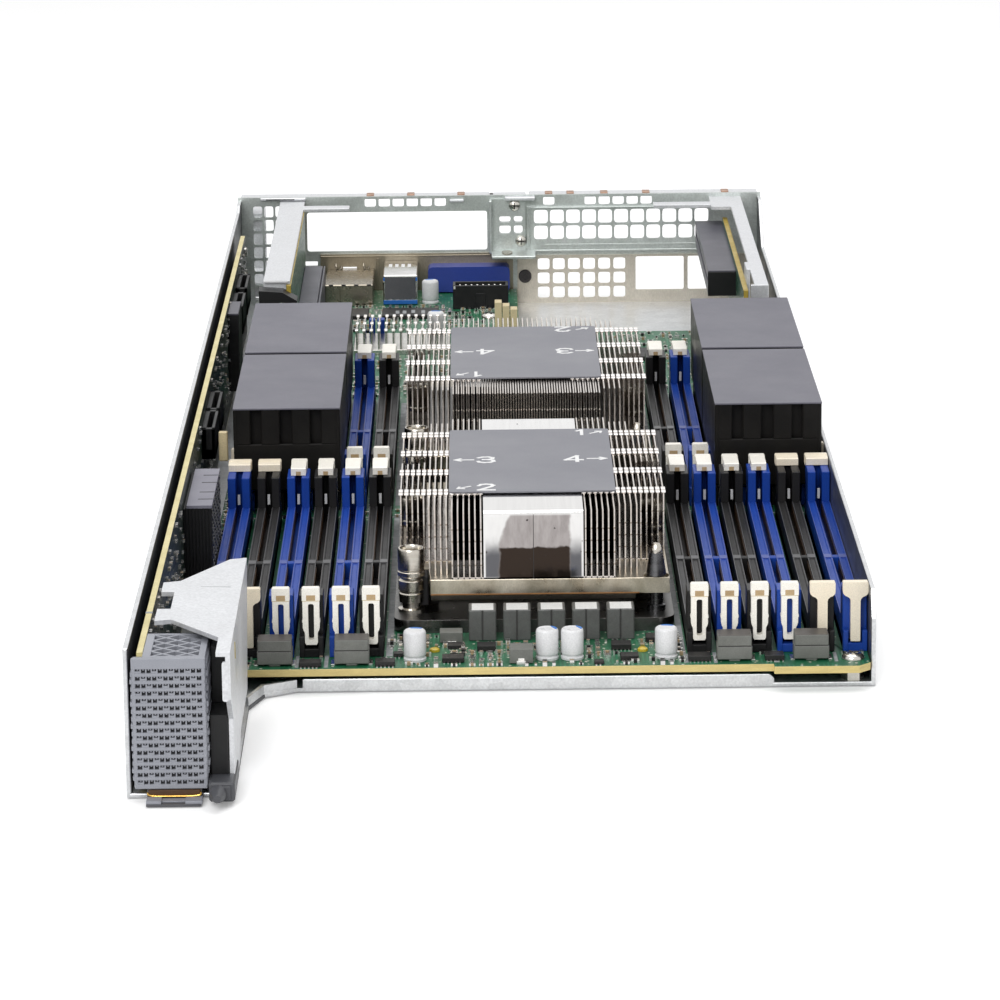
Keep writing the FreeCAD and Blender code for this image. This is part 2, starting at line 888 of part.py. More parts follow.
# Plug end: backplane connector with ledged pin rows, power mouth below it and a guide peg.
PLUG_ROWS = 16
plug = joined([
    box(
        ("plug_left", "-plug_front", "plug_bottom"),
        ("plug_width", "plug_front - adapter_front", "plug_top - plug_bottom"),
    ),
    box(
        ("adapter_face", "-plug_front", "plug_bottom"),
        ("plug_left + plug_width - adapter_face", "plug_front - plug_rear", "plug_top - plug_bottom"),
    ),
])
plug_grooves = [
    box(
        ("plug_left + plug_side", "-plug_front", f"plug_row_first + {row} * plug_row"),
        ("plug_width - 2 * plug_side", "plug_ledge", "plug_row_tall"),
    )
    for row in range(PLUG_ROWS)
]
node(less(plug, plug_grooves), "backplane_connector")
power = joined([
    box(
        ("power_left", "-plug_front", "gauge"),
        ("power_width", "plug_front - plug_rear", "plug_bottom - gauge"),
    ),
    box(
        ("power_left", "-plug_front - power_lip", "0"),
        ("power_width", "power_lip + plug_front - nose_length", "gauge"),
    ),
])
power_mouth = box(
    ("power_left + plug_side", "-plug_front", "gauge + power_wall"),
    ("power_width - 2 * plug_side", "power_mouth", "plug_bottom - gauge - 2 * power_wall"),
)
node(less(power, [power_mouth]), "power_connector")
peg = joined([
    box(
        ("peg_x - peg_block_width / 2", "-peg_block_front", "gauge"),
        ("peg_block_width", "peg_block_length", "peg_block_tall - gauge"),
    ),
    rod(("peg_x", "-peg_block_front - peg_straight", "peg_height"), "peg_radius", "peg_straight", "y"),
    taper(
        ("peg_x", "-peg_front", "peg_height"), "peg_tip", "peg_radius",
        "peg_front - peg_block_front - peg_straight", "y",
    ),
])
node(peg, "guide_peg")

# Adapter bracket: a notched top plate and a side flange that stands on the nose of the tray.
bracket = new_body("AdapterBracket")
pad(bracket, "XY", "bracket_top - gauge", [[
    ("bracket_left", "-bracket_rise - gauge"),
    ("bracket_left", "-bracket_cut_rear"),
    ("bracket_left + bracket_cut", "-bracket_cut_rear"),
    ("bracket_left + bracket_cut", "-bracket_cut_front"),
    ("bracket_left", "-bracket_cut_front"),
    ("bracket_left", "-bracket_shoulder - gauge"),
    ("bracket_middle", "-bracket_shoulder"),
    ("bracket_right - bracket_tongue", "-bracket_neck"),
    ("bracket_right - bracket_tongue", "-bracket_front"),
    ("bracket_right", "-bracket_front"),
    ("bracket_right", "-bracket_rear"),
    ("bracket_crest", "-bracket_rear - gauge"),
    ("bracket_middle", "-bracket_rise"),
]], "gauge")
pad(bracket, "YZ", "bracket_right - gauge", [[
    ("-bracket_front", "bracket_top"),
    ("-bracket_front", "bracket_sill"),
    ("-bracket_foot_front", "bracket_sill - bracket_low"),
    ("-bracket_foot_front", "gauge"),
    ("-bracket_foot_rear", "gauge"),
    ("-bracket_foot_rear + bracket_low", "bracket_low"),
    ("-bracket_heel", "bracket_low"),
    ("-bracket_rear", "bracket_top"),
]], "gauge")
node(bracket, "adapter_bracket")

# Risers: brackets under the panel flange, upright cards on board sockets, a card slot facing inward.
bar = joined([
    box(("bar_left", "bar_front", "arm_bottom"), ("bar_width", "panel_face - bar_front", "gauge")),
    box(
        ("bar_left", "bar_front", "arm_bottom - bar_lip"),
        ("riser_left_x - bar_left", "gauge", "bar_lip + gauge"),
    ),
    box(
        ("bar_left + bar_width", "panel_face - flange_depth - bar_arm_depth", "arm_bottom"),
        ("bar_arm", "bar_arm_depth", "gauge"),
    ),
    box(
        ("riser_left_x - gauge", "riser_front + bar_tab", "riser_slot_bottom"),
        ("gauge", "bar_tab", "arm_bottom + gauge - riser_slot_bottom"),
    ),
])
node(bar, "riser_bracket_left")
arm = joined([
    box(
        ("riser_right_x + riser_thick + gauge", "arm_front", "arm_bottom"),
        ("arm_width", "panel_face - arm_front", "gauge"),
    ),
    box(
        ("riser_right_x - arm_head / 2", "panel_face - arm_head_depth", "arm_bottom"),
        ("arm_head", "arm_head_depth", "gauge"),
    ),
    box(
        ("riser_right_x - arm_head - bar_arm", "panel_face - flange_depth - bar_arm_depth", "arm_bottom"),
        ("bar_arm + arm_head", "bar_arm_depth", "gauge"),
    ),
    box(
        ("riser_right_x + riser_thick", "riser_front + bar_tab", "riser_slot_bottom"),
        ("gauge", "bar_tab", "arm_bottom + gauge - riser_slot_bottom"),
    ),
    box(
        ("riser_right_x + riser_thick", "arm_front", "arm_bottom - bar_lip"),
        ("arm_width + gauge", "gauge", "bar_lip + gauge"),
    ),
    box(
        ("riser_right_x + riser_thick", "riser_front + bar_tab", "arm_bottom"),
        ("2 * gauge", "bar_tab", "gauge"),
    ),
])
node(arm, "riser_bracket_right")

RISERS = (("left", "riser_left_x", "arm_bottom"), ("right", "riser_right_x", "riser_right_top"))
for side, card_x, card_top in RISERS:
    node(
        box(
            (card_x, "riser_front", "riser_socket_top"),
            ("riser_thick", "riser_rear - riser_front", f"{card_top} - riser_socket_top"),
        ),
        f"riser_card_{side}",
    )
riser_slot = less(
    box(
        ("riser_right_x - riser_slot_x", "riser_slot_front", "riser_slot_bottom"),
        ("riser_slot_x", "riser_slot_length", "riser_slot_tall"),
    ),
    [
        box(
            (
                "riser_right_x - riser_slot_x",
                "riser_slot_front + gauge",
                "riser_slot_bottom + (riser_slot_tall - riser_slot_gap) / 2",
            ),
            ("riser_slot_deep", "riser_slot_length - 2 * gauge", "riser_slot_gap"),
        )
    ],
)
node(riser_slot, "riser_slot")
node(
    together([
        box(
            (f"{card_x} + riser_thick / 2 - riser_socket_x / 2", "riser_socket_front", "board_top"),
            ("riser_socket_x", "riser_socket_length", "riser_socket_tall"),
        )
        for side, card_x, card_top in RISERS
    ]),
    "riser_sockets",
)

# Ports, header block, jumper pins and an expansion socket at the rear of the board.
lan = less(
    box(
        ("lan_left", "lan_front", "board_top"),
        ("lan_width", "panel_back + port_reach - lan_front", "lan_tall"),
    ),
    [
        box(
            (
                "lan_left + (lan_width - lan_mouth_x) / 2",
                "panel_back + port_reach - lan_mouth_deep",
                "board_top + (lan_tall - lan_mouth_z) / 2",
            ),
            ("lan_mouth_x", "lan_mouth_deep", "lan_mouth_z"),
        )
    ],
)
node(lan, "network_jack")
USB_LEVELS = (0, 1)
usb = less(
    box(
        ("usb_left", "usb_front", "board_top"),
        ("usb_width", "panel_back + port_reach - usb_front", "usb_tall"),
    ),
    [
        box(
            (
                "usb_left + usb_wall",
                "panel_back + port_reach - usb_mouth_deep",
                f"board_top + usb_wall + {level} * usb_tall / 2",
            ),
            ("usb_width - 2 * usb_wall", "usb_mouth_deep", "usb_tall / 2 - 2 * usb_wall"),
        )
        for level in USB_LEVELS
    ],
)
usb_tongues = [
    box(
        (
            "usb_left + 2 * usb_wall",
            "panel_back + port_reach - usb_mouth_deep",
            f"board_top + usb_tall / 2 - usb_wall - usb_tongue + {level} * usb_tall / 2",
        ),
        ("usb_width - 4 * usb_wall", "usb_mouth_deep - usb_tongue", "usb_tongue"),
    )
    for level in USB_LEVELS
]
node(joined([usb] + usb_tongues), "bus_port")
video = new_body("VideoPort")
housing = rect("vga_left", "board_top", "vga_width", "vga_tall")
pad(video, "XZ", "vga_front", [housing], "panel_face - vga_front")


def shell_loop(inset):
    """The outline of the plug shell: wider at the top than at the bottom."""
    middle = "vga_left + vga_width / 2"
    half = f"vga_shell_x / 2 - {inset}"
    low = f"board_top + (vga_tall - vga_shell_z) / 2 + {inset}"
    high = f"board_top + (vga_tall + vga_shell_z) / 2 - {inset}"
    return [
        (f"{middle} - ({half}) + vga_shell_lean", low),
        (f"{middle} + {half} - vga_shell_lean", low),
        (f"{middle} + {half}", high),
        (f"{middle} - ({half})", high),
    ]


pad(video, "XZ", "panel_face", [shell_loop("0"), shell_loop("vga_shell_wall")], "gauge + shell_reach")
JACKS = (
    "vga_left + vga_width / 2 - jack_spacing / 2",
    "vga_left + vga_width / 2 + jack_spacing / 2",
)
jackscrews = [
    rod((x, "panel_face", "board_top + vga_tall / 2"), "jack_radius", "gauge + jack_reach", "y")
    for x in JACKS
]
jack_holes = [
    rod((x, "panel_back", "board_top + vga_tall / 2"), "jack_hole", "jack_reach", "y") for x in JACKS
]
node(less(joined([video] + jackscrews), jack_holes), "video_port")

header = less(
    box(("header_left", "header_front", "board_top"), ("header_width", "header_depth", "header_tall")),
    [
        box(
            (
                "header_left + gauge",
                "header_front + (header_depth - header_slot) / 2",
                "board_top + header_slot",
            ),
            ("header_width - 2 * gauge", "header_slot", "header_tall - header_slot"),
        )
    ],
)
node(header, "header_block")
JUMPERS = 3
node(
    together([
        box(
            (f"jumper_left + {number} * jumper_pitch", "jumper_front", "board_top"),
            ("jumper_width", "2 * jumper_width", f"jumper_tall - {number} * jumper_width / 2"),
        )
        for number in range(JUMPERS)
    ]),
    "jumper_headers",
)
expansion = less(
    box(
        ("expansion_left", "expansion_front", "board_top"),
        ("expansion_width", "expansion_length", "expansion_tall"),
    ),
    [
        box(
            (
                "expansion_left + (expansion_width - expansion_slot) / 2",
                "expansion_front + expansion_slot",
                "board_top + expansion_slot",
            ),
            (
                "expansion_slot",
                "expansion_length - 2 * expansion_slot",
                "expansion_tall - expansion_slot",
            ),
        )
    ],
)
node(expansion, "expansion_socket")

# Processors and heat sinks: the rear one is turned by half a turn and has fins in place of the core.
SINKS = (("sink_front", 1), ("sink_rear", -1))


def fin(low, middle, reach):
    """One upright sheet of a fin stack."""
    return box((low, f"{middle} - {reach} / 2", "fin_bottom"), ("fin_thick", reach, "fin_top - fin_bottom"))


bolsters = []
cpu_sockets = []
cpus = []
bases = []
fin_stacks = []
cores = []
plates = []
nuts = []
posts = []
FINS = 15
LONG_FINS = 6
CORE_FINS = 17
TAB_ROWS = 4
for middle, turn in SINKS:
    def across(text, sign=turn):
        """A distance from the sink's middle, along x."""
        return f"centre_x + ({sign}) * ({text})"

    def along(text, sign=turn, centre=middle):
        """A distance from the sink's middle, along y."""
        return f"{centre} + ({sign}) * ({text})"

    bolster = new_body("Bolster")
    frame = pad(bolster, "XY", "board_top", [
        rect(
            "centre_x - bolster_width / 2", f"{middle} - bolster_length / 2",
            "bolster_width", "bolster_length",
        ),
        rect(
            "centre_x - bolster_window_x / 2", f"{middle} - bolster_window_y / 2",
            "bolster_window_x", "bolster_window_y",
        ),
    ], "bolster_thick")
    doc.recompute()
    upright = []
    for number, edge in enumerate(bolster.Shape.Edges, start=1):
        start, end = (vertex.Point for vertex in edge.Vertexes)
        inside = abs(start.x - value("shift_x + centre_x")) < value("bolster_width / 2 - gauge")
        if abs(start.z - end.z) > value("gauge") and not inside:
            upright.append(f"Edge{number}")
    rounding = bolster.newObject("PartDesign::Fillet", "Corners")
    rounding.Base = (frame, upright)
    rounding.setExpression("Radius", full("bolster_corner"))
    bolster.Tip = rounding
    bolsters.append(bolster)

    cpu_sockets.append(box(
        ("centre_x - cpu_socket_x / 2", f"{middle} - cpu_socket_y / 2", "board_top"),
        ("cpu_socket_x", "cpu_socket_y", "cpu_socket_tall"),
    ))
    cpus.append(box(
        ("centre_x - cpu_x / 2", f"{middle} - cpu_y / 2", "board_top + cpu_socket_tall"),
        ("cpu_x", "cpu_y", "sink_bottom - board_top - cpu_socket_tall"),
    ))

    corner_nuts = [("-nut_x", "-nut_y"), ("nut_x", "nut_y")]
    middle_nuts = [("-nut_x", "nut_mid"), ("nut_x", "-nut_mid")]
    guide_spots = [("nut_x", "-post_y"), ("-nut_x", "post_y")]
    base = box(
        ("centre_x - sink_width / 2", f"{middle} - sink_length / 2", "sink_bottom"),
        ("sink_width", "sink_length", "sink_base"),
    )
    base_cuts = [
        rod((across(x), along(y), "sink_bottom"), "post_hole", "sink_base") for x, y in guide_spots
    ]
    corners = (
        ("centre_x - sink_width / 2", f"{middle} - sink_length / 2"),
        ("centre_x + sink_width / 2 - corner_cut_x", f"{middle} + sink_length / 2 - corner_cut_y"),
    )
    base_cuts += [
        box((x, y, "sink_bottom"), ("corner_cut_x", "corner_cut_y", "sink_base")) for x, y in corners
    ]
    bases.append(less(base, base_cuts))

    inner = "core_width / 2 + core_margin"
    holes = [
        rod((across(x), along(y), "fin_bottom"), "driver_radius", "fin_top - fin_bottom")
        for x, y in middle_nuts
    ]
    for side in (-1, 1):
        blades = []
        for number in range(FINS):
            reach = "sink_length" if number < LONG_FINS else "wing_length"
            offset = f"{inner} + {number} * fin_pitch"
            low = f"centre_x + {offset}" if side > 0 else f"centre_x - ({offset}) - fin_thick"
            blades.append(fin(low, middle, reach))
        wide = f"{FINS - 1} * fin_pitch + fin_thick"
        narrow = f"{LONG_FINS - 1} * fin_pitch + fin_thick"
        webs = []
        for span, reach in ((wide, "wing_length"), (narrow, "sink_length")):
            low = f"centre_x + {inner}" if side > 0 else f"centre_x - ({inner}) - ({span})"
            webs.append(box((low, f"{middle} - {reach} / 2", "fin_bottom"), (span, reach, "web_thick")))
        fin_stacks.append(less(joined(blades + webs), holes))
        for row in range(TAB_ROWS):
            low = f"centre_x + {inner}" if side > 0 else f"centre_x - ({inner}) - ({wide})"
            place = f"{middle} - wing_length / 2 + {row} * (wing_length - tab_width) / {TAB_ROWS - 1}"
            fin_stacks.append(box((low, place, "fin_top"), (wide, "tab_width", "tab_thick")))
    if turn > 0:
        cores.append(box(
            ("centre_x - core_width / 2", f"{middle} - sink_length / 2", "fin_bottom"),
            ("core_width", "sink_length", "fin_top - fin_bottom"),
        ))
    else:
        blades = [
            fin(f"centre_x + {number - CORE_FINS // 2} * fin_pitch - fin_thick / 2", middle, "sink_length")
            for number in range(CORE_FINS)
        ]
        web = box(
            ("centre_x - core_width / 2", f"{middle} - sink_length / 2", "fin_bottom"),
            ("core_width", "sink_length", "web_thick"),
        )
        fin_stacks.append(joined(blades + [web]))
    plates.append(box(
        ("centre_x - stack_width / 2", f"{middle} - wing_length / 2", "sink_top"),
        ("stack_width", "wing_length", "plate_thick"),
    ))
    for x, y in corner_nuts:
        nuts.append(joined([
            rod(
                (across(x), along(y), "board_top + bolster_thick"),
                "stud_radius", "fin_bottom - board_top - bolster_thick",
            ),
            rod((across(x), along(y), "fin_bottom"), "nut_radius", "nut_top - fin_bottom"),
        ]))
    nuts += [
        rod((across(x), along(y), "fin_bottom + web_thick"), "nut_radius", "nut_top - fin_bottom")
        for x, y in middle_nuts
    ]
    posts += [
        rod(
            (across(x), along(y), "board_top + bolster_thick"), "post_radius",
            "post_top - board_top - bolster_thick",
        )
        for x, y in guide_spots
    ]
for items, label in (
    (bolsters, "bolster_plates"),
    (cpu_sockets, "processor_sockets"),
    (cpus, "processors"),
    (bases, "heatsink_bases"),
    (fin_stacks, "heatsink_fins"),
    (cores, "heatsink_cores"),
    (plates, "heatsink_plates"),
    (nuts, "heatsink_nuts"),
    (posts, "guide_posts"),
):
    node(together(items), label)

# Memory sockets: two banks of twelve, colours alternate outward from the middle.
COLUMNS = range(1, 13)
BLUE = (1, 3, 5, 8, 10, 12)
BANKS = (("front", "bank_front"), ("rear", "bank_rear"))


def memory_socket(column, row):
    """One socket: rails with a keyed slot, end towers and the cheeks that carry the latches."""
    middle = f"column_{column}"
    left = f"{middle} - socket_width / 2"
    inner = "socket_length - 2 * socket_inset"
    far = f"{row} + socket_length - socket_inset"
    cheek = "(socket_width - latch_stem) / 2"
    right = f"{middle} + latch_stem / 2"
    pieces = [
        box((left, f"{row} + socket_inset", "board_top"), ("socket_width", inner, "rail_height")),
        box((left, f"{row} + socket_inset", "board_top"), ("socket_width", "tower_near", "tower_height")),
        box((left, f"{far} - tower_length", "board_top"), ("socket_width", "tower_length", "tower_height")),
    ]
    for start in (row, far):
        for low in (left, right):
            pieces.append(box((low, start, "board_top"), (cheek, "socket_inset", "cheek_height")))
    slots = []
    for start, stop in (("slot_inset", "key_from"), ("key_from + key_width", "socket_length - slot_inset")):
        slots.append(box(
            (f"{middle} - slot_width / 2", f"{row} + {start}", "board_top + slot_floor"),
            ("slot_width", f"{stop} - ({start})", "tower_height - slot_floor"),
        ))
    return less(joined(pieces), slots)


blue_sockets = []
black_sockets = []
for bank, row in BANKS:
    for column in COLUMNS:
        group = blue_sockets if column in BLUE else black_sockets
        group.append(memory_socket(column, row))
node(together(blue_sockets), "memory_sockets_blue")
node(together(black_sockets), "memory_sockets_black")


# Latches: the outer two columns of each side have plain T latches, the inner four slotted frames.
T_COLUMNS = (1, 2, 11, 12)


def latch(column, row, end):
    """One end latch, upright between its cheeks, with a hook towards the memory slot."""
    middle = f"column_{column}"
    outer = row if end == "near" else f"{row} + socket_length - latch_thick"
    hook = f"{outer} + latch_thick" if end == "near" else f"{outer} - latch_hook"
    plain = column in T_COLUMNS
    head_wide = "latch_head_wide" if plain else "latch_frame"
    stem_top = "latch_height - latch_head" if plain else "latch_shoulder"
    pieces = [
        box(
            (f"{middle} - latch_stem / 2", outer, "board_top + latch_foot"),
            ("latch_stem", "latch_thick", f"{stem_top} - latch_foot"),
        ),
        box(
            (f"{middle} - {head_wide} / 2", outer, f"board_top + {stem_top}"),
            (head_wide, "latch_thick", f"latch_height - ({stem_top})"),
        ),
        box(
            (f"{middle} - latch_stem / 2", hook, "board_top + latch_height - latch_hook_tall"),
            ("latch_stem", "latch_hook", "latch_hook_tall"),
        ),
    ]
    whole = joined(pieces)
    if plain:
        return whole
    window = box(
        (f"{middle} - latch_window / 2", outer, "board_top + latch_window_from"),
        ("latch_window", "latch_thick", "latch_window_tall"),
    )
    return less(whole, [window])


LATCH_ROWS = (
    ("front", "left", (1, 2, 3, 4, 5, 6)),
    ("front", "right", (7, 8, 9, 10, 11, 12)),
    ("rear", "left", (5, 6)),
    ("rear", "right", (7, 8)),
)
COVERED = (1, 2, 3, 4, 9, 10, 11, 12)
for bank, side, columns in LATCH_ROWS:
    row = dict(BANKS)[bank]
    for end in ("near", "far"):
        node(together([latch(column, row, end) for column in columns]), f"latches_{bank}_{side}_{end}")
node(
    together([latch(column, "bank_rear", end) for column in COVERED for end in ("near", "far")]),
    "latches_covered",
)

# Covers: open boxes over the outer four columns of the rear bank, two per side.
COVERS = (
    ("left", "column_1 - cover_reach"),
    ("right", "column_12 + cover_reach - cover_width"),
)
SLITS = 3
for side, left in COVERS:
    halves = (
        ("near", "cover_front", "cover_middle - cover_split / 2 - cover_front"),
        ("far", "cover_middle + cover_split / 2", "cover_rear - cover_middle - cover_split / 2"),
    )
    for half, front, length in halves:
        shell = less(
            box((left, front, "rail_top"), ("cover_width", length, "cover_top - rail_top")),
            [
                box(
                    (f"{left} + cover_wall", f"{front} + cover_wall", "rail_top"),
                    (
                        "cover_width - 2 * cover_wall",
                        f"{length} - 2 * cover_wall",
                        "cover_top - cover_wall - rail_top",
                    ),
                )
            ],
        )
        notch = front if half == "near" else f"{front} + {length} - cover_notch"
        cuts = [
            box(
                (left, f"{notch} + cover_wall" if half == "near" else notch, "rail_top"),
                ("cover_width", "cover_notch - cover_wall", "cover_notch_top - rail_top"),
            )
        ]
        if half == "near":
            cuts += [
                box(
                    (
                        f"{left} + ({number} + 1) * cover_width / {SLITS + 1} - cover_slit / 2",
                        front,
                        "cover_top - cover_wall - cover_slit_tall",
                    ),
                    ("cover_slit", "cover_wall", "cover_slit_tall"),
                )
                for number in range(SLITS)
            ]
        node(less(shell, cuts), f"memory_cover_{side}_{half}")

# Regulator chokes, memory chokes, can capacitors and chips.
VRM = 5
vrm_chokes = [
    box(
        (f"centre_x + vrm_shift + {number - VRM // 2} * vrm_pitch - vrm_choke / 2", "vrm_front", "board_top"),
        ("vrm_choke", "vrm_depth", "vrm_tall"),
    )
    for number in range(VRM)
]
node(together(vrm_chokes), "regulator_chokes")
DIMM_CHOKES = ("column_3 - gauge", "column_5 + bar_lip", "column_8 + gauge", "column_11 - bar_lip")
node(
    together([
        box(
            (f"{x} - dimm_choke / 2", "dimm_choke_front", "board_top"),
            ("dimm_choke", "dimm_choke_depth", "dimm_choke_tall"),
        )
        for x in DIMM_CHOKES
    ]),
    "memory_chokes",
)
CANS = (
    ("centre_x - nut_x + gauge", "can_row"),
    ("centre_x + can_radius", "can_row"),
    ("centre_x + can_radius + 2 * can_radius + gauge / 2", "can_row"),
    ("centre_x + nut_x + gauge", "can_row"),
    ("vga_left + gauge / 2", "vga_front - can_row + gauge"),
    ("vga_left + can_radius", "vga_front - 5 * can_row"),
)
node(
    together([rod((x, y, "board_top"), "can_radius", "can_tall") for x, y in CANS]),
    "can_capacitors",
)
CHIPS = (
    ("centre_x - nut_x", "vrm_front - gauge", "vrm_choke", "vrm_choke"),
    ("centre_x + nut_x - gauge", "vrm_front - gauge", "vrm_choke", "vrm_choke"),
    ("lan_left + 5 * gauge", "lan_front - 5 * vrm_depth", "2 * vrm_choke", "2 * vrm_depth"),
    ("usb_left", "lan_front - 5 * vrm_depth", "2 * vrm_choke", "2 * vrm_depth"),
    ("lan_left", "lan_front - 12 * vrm_depth", "3 * vrm_choke", "3 * vrm_depth"),
    ("centre_x + nut_x", "board_step - 7 * vrm_depth", "2 * vrm_choke", "2 * vrm_depth"),
    ("centre_x", "board_step - 7 * vrm_depth", "2 * vrm_choke", "3 * vrm_depth"),
)
node(
    together([box((x, y, "board_top"), (wide, deep, "chip_tall")) for x, y, wide, deep in CHIPS]),
    "board_chips",
)

# Panel screws: two in the centre post, one on each card bracket position.
PANEL_SCREWS = (
    ("post_left + post_width / 2", "port_plate_top + gauge + 2 * panel_screw_head"),
    ("post_left + post_width / 2", "flange_bottom - 2 * panel_screw_head"),
)
node(
    together([
        rod((x, "panel_face - gauge - panel_screw_tall", z), "panel_screw_head", "panel_screw_tall", "y")
        for x, z in PANEL_SCREWS
    ]),
    "panel_screws",
)

# Rear face: pull handle on the left, sprung release lever on a pin at the right.
handle = new_body("PullHandle")
grip = "panel_back + handle_reach"
inside = "panel_back + handle_reach - handle_bar"
foot = "handle_bottom"
head = "handle_bottom + handle_tall"
pad(handle, "YZ", "handle_x", [[
    ("panel_back", foot),
    (f"{grip} - handle_round", foot),
    (grip, f"{foot} + handle_round"),
    (grip, f"{head} - handle_round"),
    (f"{grip} - handle_round", head),
    ("panel_back", head),
    ("panel_back", f"{head} - handle_bar"),
    (f"{inside} - handle_round / 2", f"{head} - handle_bar"),
    (inside, f"{head} - handle_bar - handle_round / 2"),
    (inside, f"{foot} + handle_bar + handle_round / 2"),
    (f"{inside} - handle_round / 2", f"{foot} + handle_bar"),
    ("panel_back", f"{foot} + handle_bar"),
]], "handle_width")
node(handle, "pull_handle")
ear_low = "lever_x - lever_ear_width / 2"
ears = joined([
    box(
        (ear_low, "panel_back", "lever_bottom - lever_ear"),
        ("lever_ear_width", "lever_ear", "lever_tall + 2 * lever_ear"),
    ),
    box(
        (ear_low, "panel_back", "lever_bottom - lever_ear"),
        ("lever_ear_width", "lever_ear_reach", "lever_ear"),
    ),
    box(
        (ear_low, "panel_back", "lever_bottom + lever_tall"),
        ("lever_ear_width", "lever_ear_reach", "lever_ear"),
    ),
])
node(ears, "lever_bracket")
node(
    rod(("lever_x", "lever_y", "lever_bottom"), "lever_pin_radius", "lever_tall"),
    "lever_pin",
)
arm_end = "panel_back + lever_arm_reach"
half = "lever_arm_thick / 2"
thumb = new_body("LeverArm")
pad(thumb, "XY", "lever_bottom + lever_side_gap", [[
    (f"lever_x - {half}", "lever_y"),
    (f"lever_x + {half}", "lever_y"),
    (f"lever_x + {half}", f"{arm_end} - 2 * lever_arm_thick"),
    (f"lever_x + 3 * {half}", f"{arm_end} - {half}"),
    (f"lever_x + 3 * {half}", arm_end),
    (f"lever_x + {half}", arm_end),
    (f"lever_x - {half}", f"{arm_end} - 3 * {half}"),
]], "lever_tall - 2 * lever_side_gap")
hub = rod(
    ("lever_x", "lever_y", "lever_bottom + lever_side_gap"),
    "lever_hub_radius", "lever_tall - 2 * lever_side_gap",
)
lever = less(
    joined([hub, thumb]),
    [rod(("lever_x", "lever_y", "lever_bottom"), "lever_hole_radius", "lever_tall")],
)
node(lever, "release_lever")

doc.recompute()

# Every object has to be sound before anything is written.
for item in doc.Objects:
    if "Invalid" in item.State or "Error" in item.State:
        raise RuntimeError(f"{item.Label} failed: {item.State}")
for item in nodes:
    if item.Shape.isNull() or not item.Shape.isValid() or not item.Shape.Solids:
        raise RuntimeError(f"{item.Label} has no sound shape")

os.makedirs("parts", exist_ok=True)
for item in nodes:
    item.Shape.exportStep(f"parts/{item.Label}.step")
print(len(nodes), "sub-parts written")
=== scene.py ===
# %% [markdown]
# A compute sled for a rack: a long shallow tray with a board, two heat sinks in line, two banks of memory
# sockets, a plug end at the front and a port panel at the rear. The solid parts come in as a fixed frame.
# Everything below adds surfaces and finishes around that frame, in metres, in the same place.

# %% Load the frame
import json
import math

import bpy
import numpy as np
from mathutils import Matrix


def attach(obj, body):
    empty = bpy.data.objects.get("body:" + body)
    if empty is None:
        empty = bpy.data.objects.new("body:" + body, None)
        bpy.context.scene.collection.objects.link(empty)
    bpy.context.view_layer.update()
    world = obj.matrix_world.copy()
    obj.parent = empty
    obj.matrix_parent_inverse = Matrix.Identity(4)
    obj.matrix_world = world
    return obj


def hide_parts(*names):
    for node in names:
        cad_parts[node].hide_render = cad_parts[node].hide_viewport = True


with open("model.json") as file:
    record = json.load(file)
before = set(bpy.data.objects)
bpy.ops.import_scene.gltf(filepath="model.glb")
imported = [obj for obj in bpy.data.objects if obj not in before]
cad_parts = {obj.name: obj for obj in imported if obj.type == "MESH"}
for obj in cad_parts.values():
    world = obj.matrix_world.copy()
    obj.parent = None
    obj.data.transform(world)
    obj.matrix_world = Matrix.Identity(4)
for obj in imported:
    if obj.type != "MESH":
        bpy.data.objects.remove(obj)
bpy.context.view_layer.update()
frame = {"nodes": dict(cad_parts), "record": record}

# %% [markdown]
# Sizes are easier to read in millimetres from one corner: x from the left wall, y from the front edge of the
# board, z from the underside of the tray. One shift takes such points to the shared frame, and every mesh
# passes through it, so each finished piece keeps its object at the origin.

# %% Sizes of the sled, in millimetres
MM = 0.001
SHIFT = np.array([-92.01, -203.4, 0.0])
BOARD_TOP = 6.5
CENTRE_X = 97.86
COLUMNS = np.array([16.2, 24.6, 33.0, 40.67, 48.34, 56.01, 139.71, 147.38, 155.05, 162.72, 171.12, 179.52])
BLUE = np.isin(np.arange(12), (0, 2, 4, 7, 9, 11))
T_LATCH = np.isin(np.arange(12), (0, 1, 10, 11))
BANKS = {"front": 10.5, "rear": 163.3}
SOCKET_LENGTH = 141.0
SINKS = np.array([91.2, 228.5])
PANEL_FACE, PANEL_THICK = 480.6, 1.2
SLED_WIDTH, SLED_HEIGHT = 184.02, 39.8
print("columns of sockets:", COLUMNS)

# %% [markdown]
# Many shapes come from small tables of numbers. These helpers build such tables: columns side by side, all
# pairs of two lists, places on the ground, and mirror images. One more repeats a surface at many places.

# %% Tables and copies
def stack(*columns):
    """Columns side by side, where a single number fills its whole column."""
    return np.stack(np.broadcast_arrays(*columns), -1).astype(float)


def grid(first, second):
    """All pairs of two lists, as two flat lists."""
    return (values.ravel() for values in np.meshgrid(first, second, indexing="ij"))


def ground(pairs, height=0.0):
    """Places for pairs of x and y, at one height or at a height each."""
    pairs = np.atleast_2d(np.asarray(pairs, float))
    return np.column_stack([pairs, np.broadcast_to(height, len(pairs))])


def rows(table):
    """A table of x, y, z, x, y, z as low and high corners."""
    table = np.atleast_2d(np.asarray(table, float))
    return table[:, :3], table[:, 3:]


def mirrored(table):
    """The rows of such a table and their mirror images across x = 0."""
    return [*table, *((-x1, y0, z0, -x0, y1, z1) for x0, y0, z0, x1, y1, z1 in table)]


def copies(surface, places):
    """Copies of one surface (points, faces), moved to each place."""
    points, faces = surface
    places = np.atleast_2d(np.asarray(places, float))
    moved = (points[None] + places[:, None]).reshape(-1, 3)
    return moved, [[i + len(points) * k for i in face] for k in range(len(places)) for face in faces]


print("mirrored row:", mirrored([(1, 0, 0, 2, 1, 1)])[1])

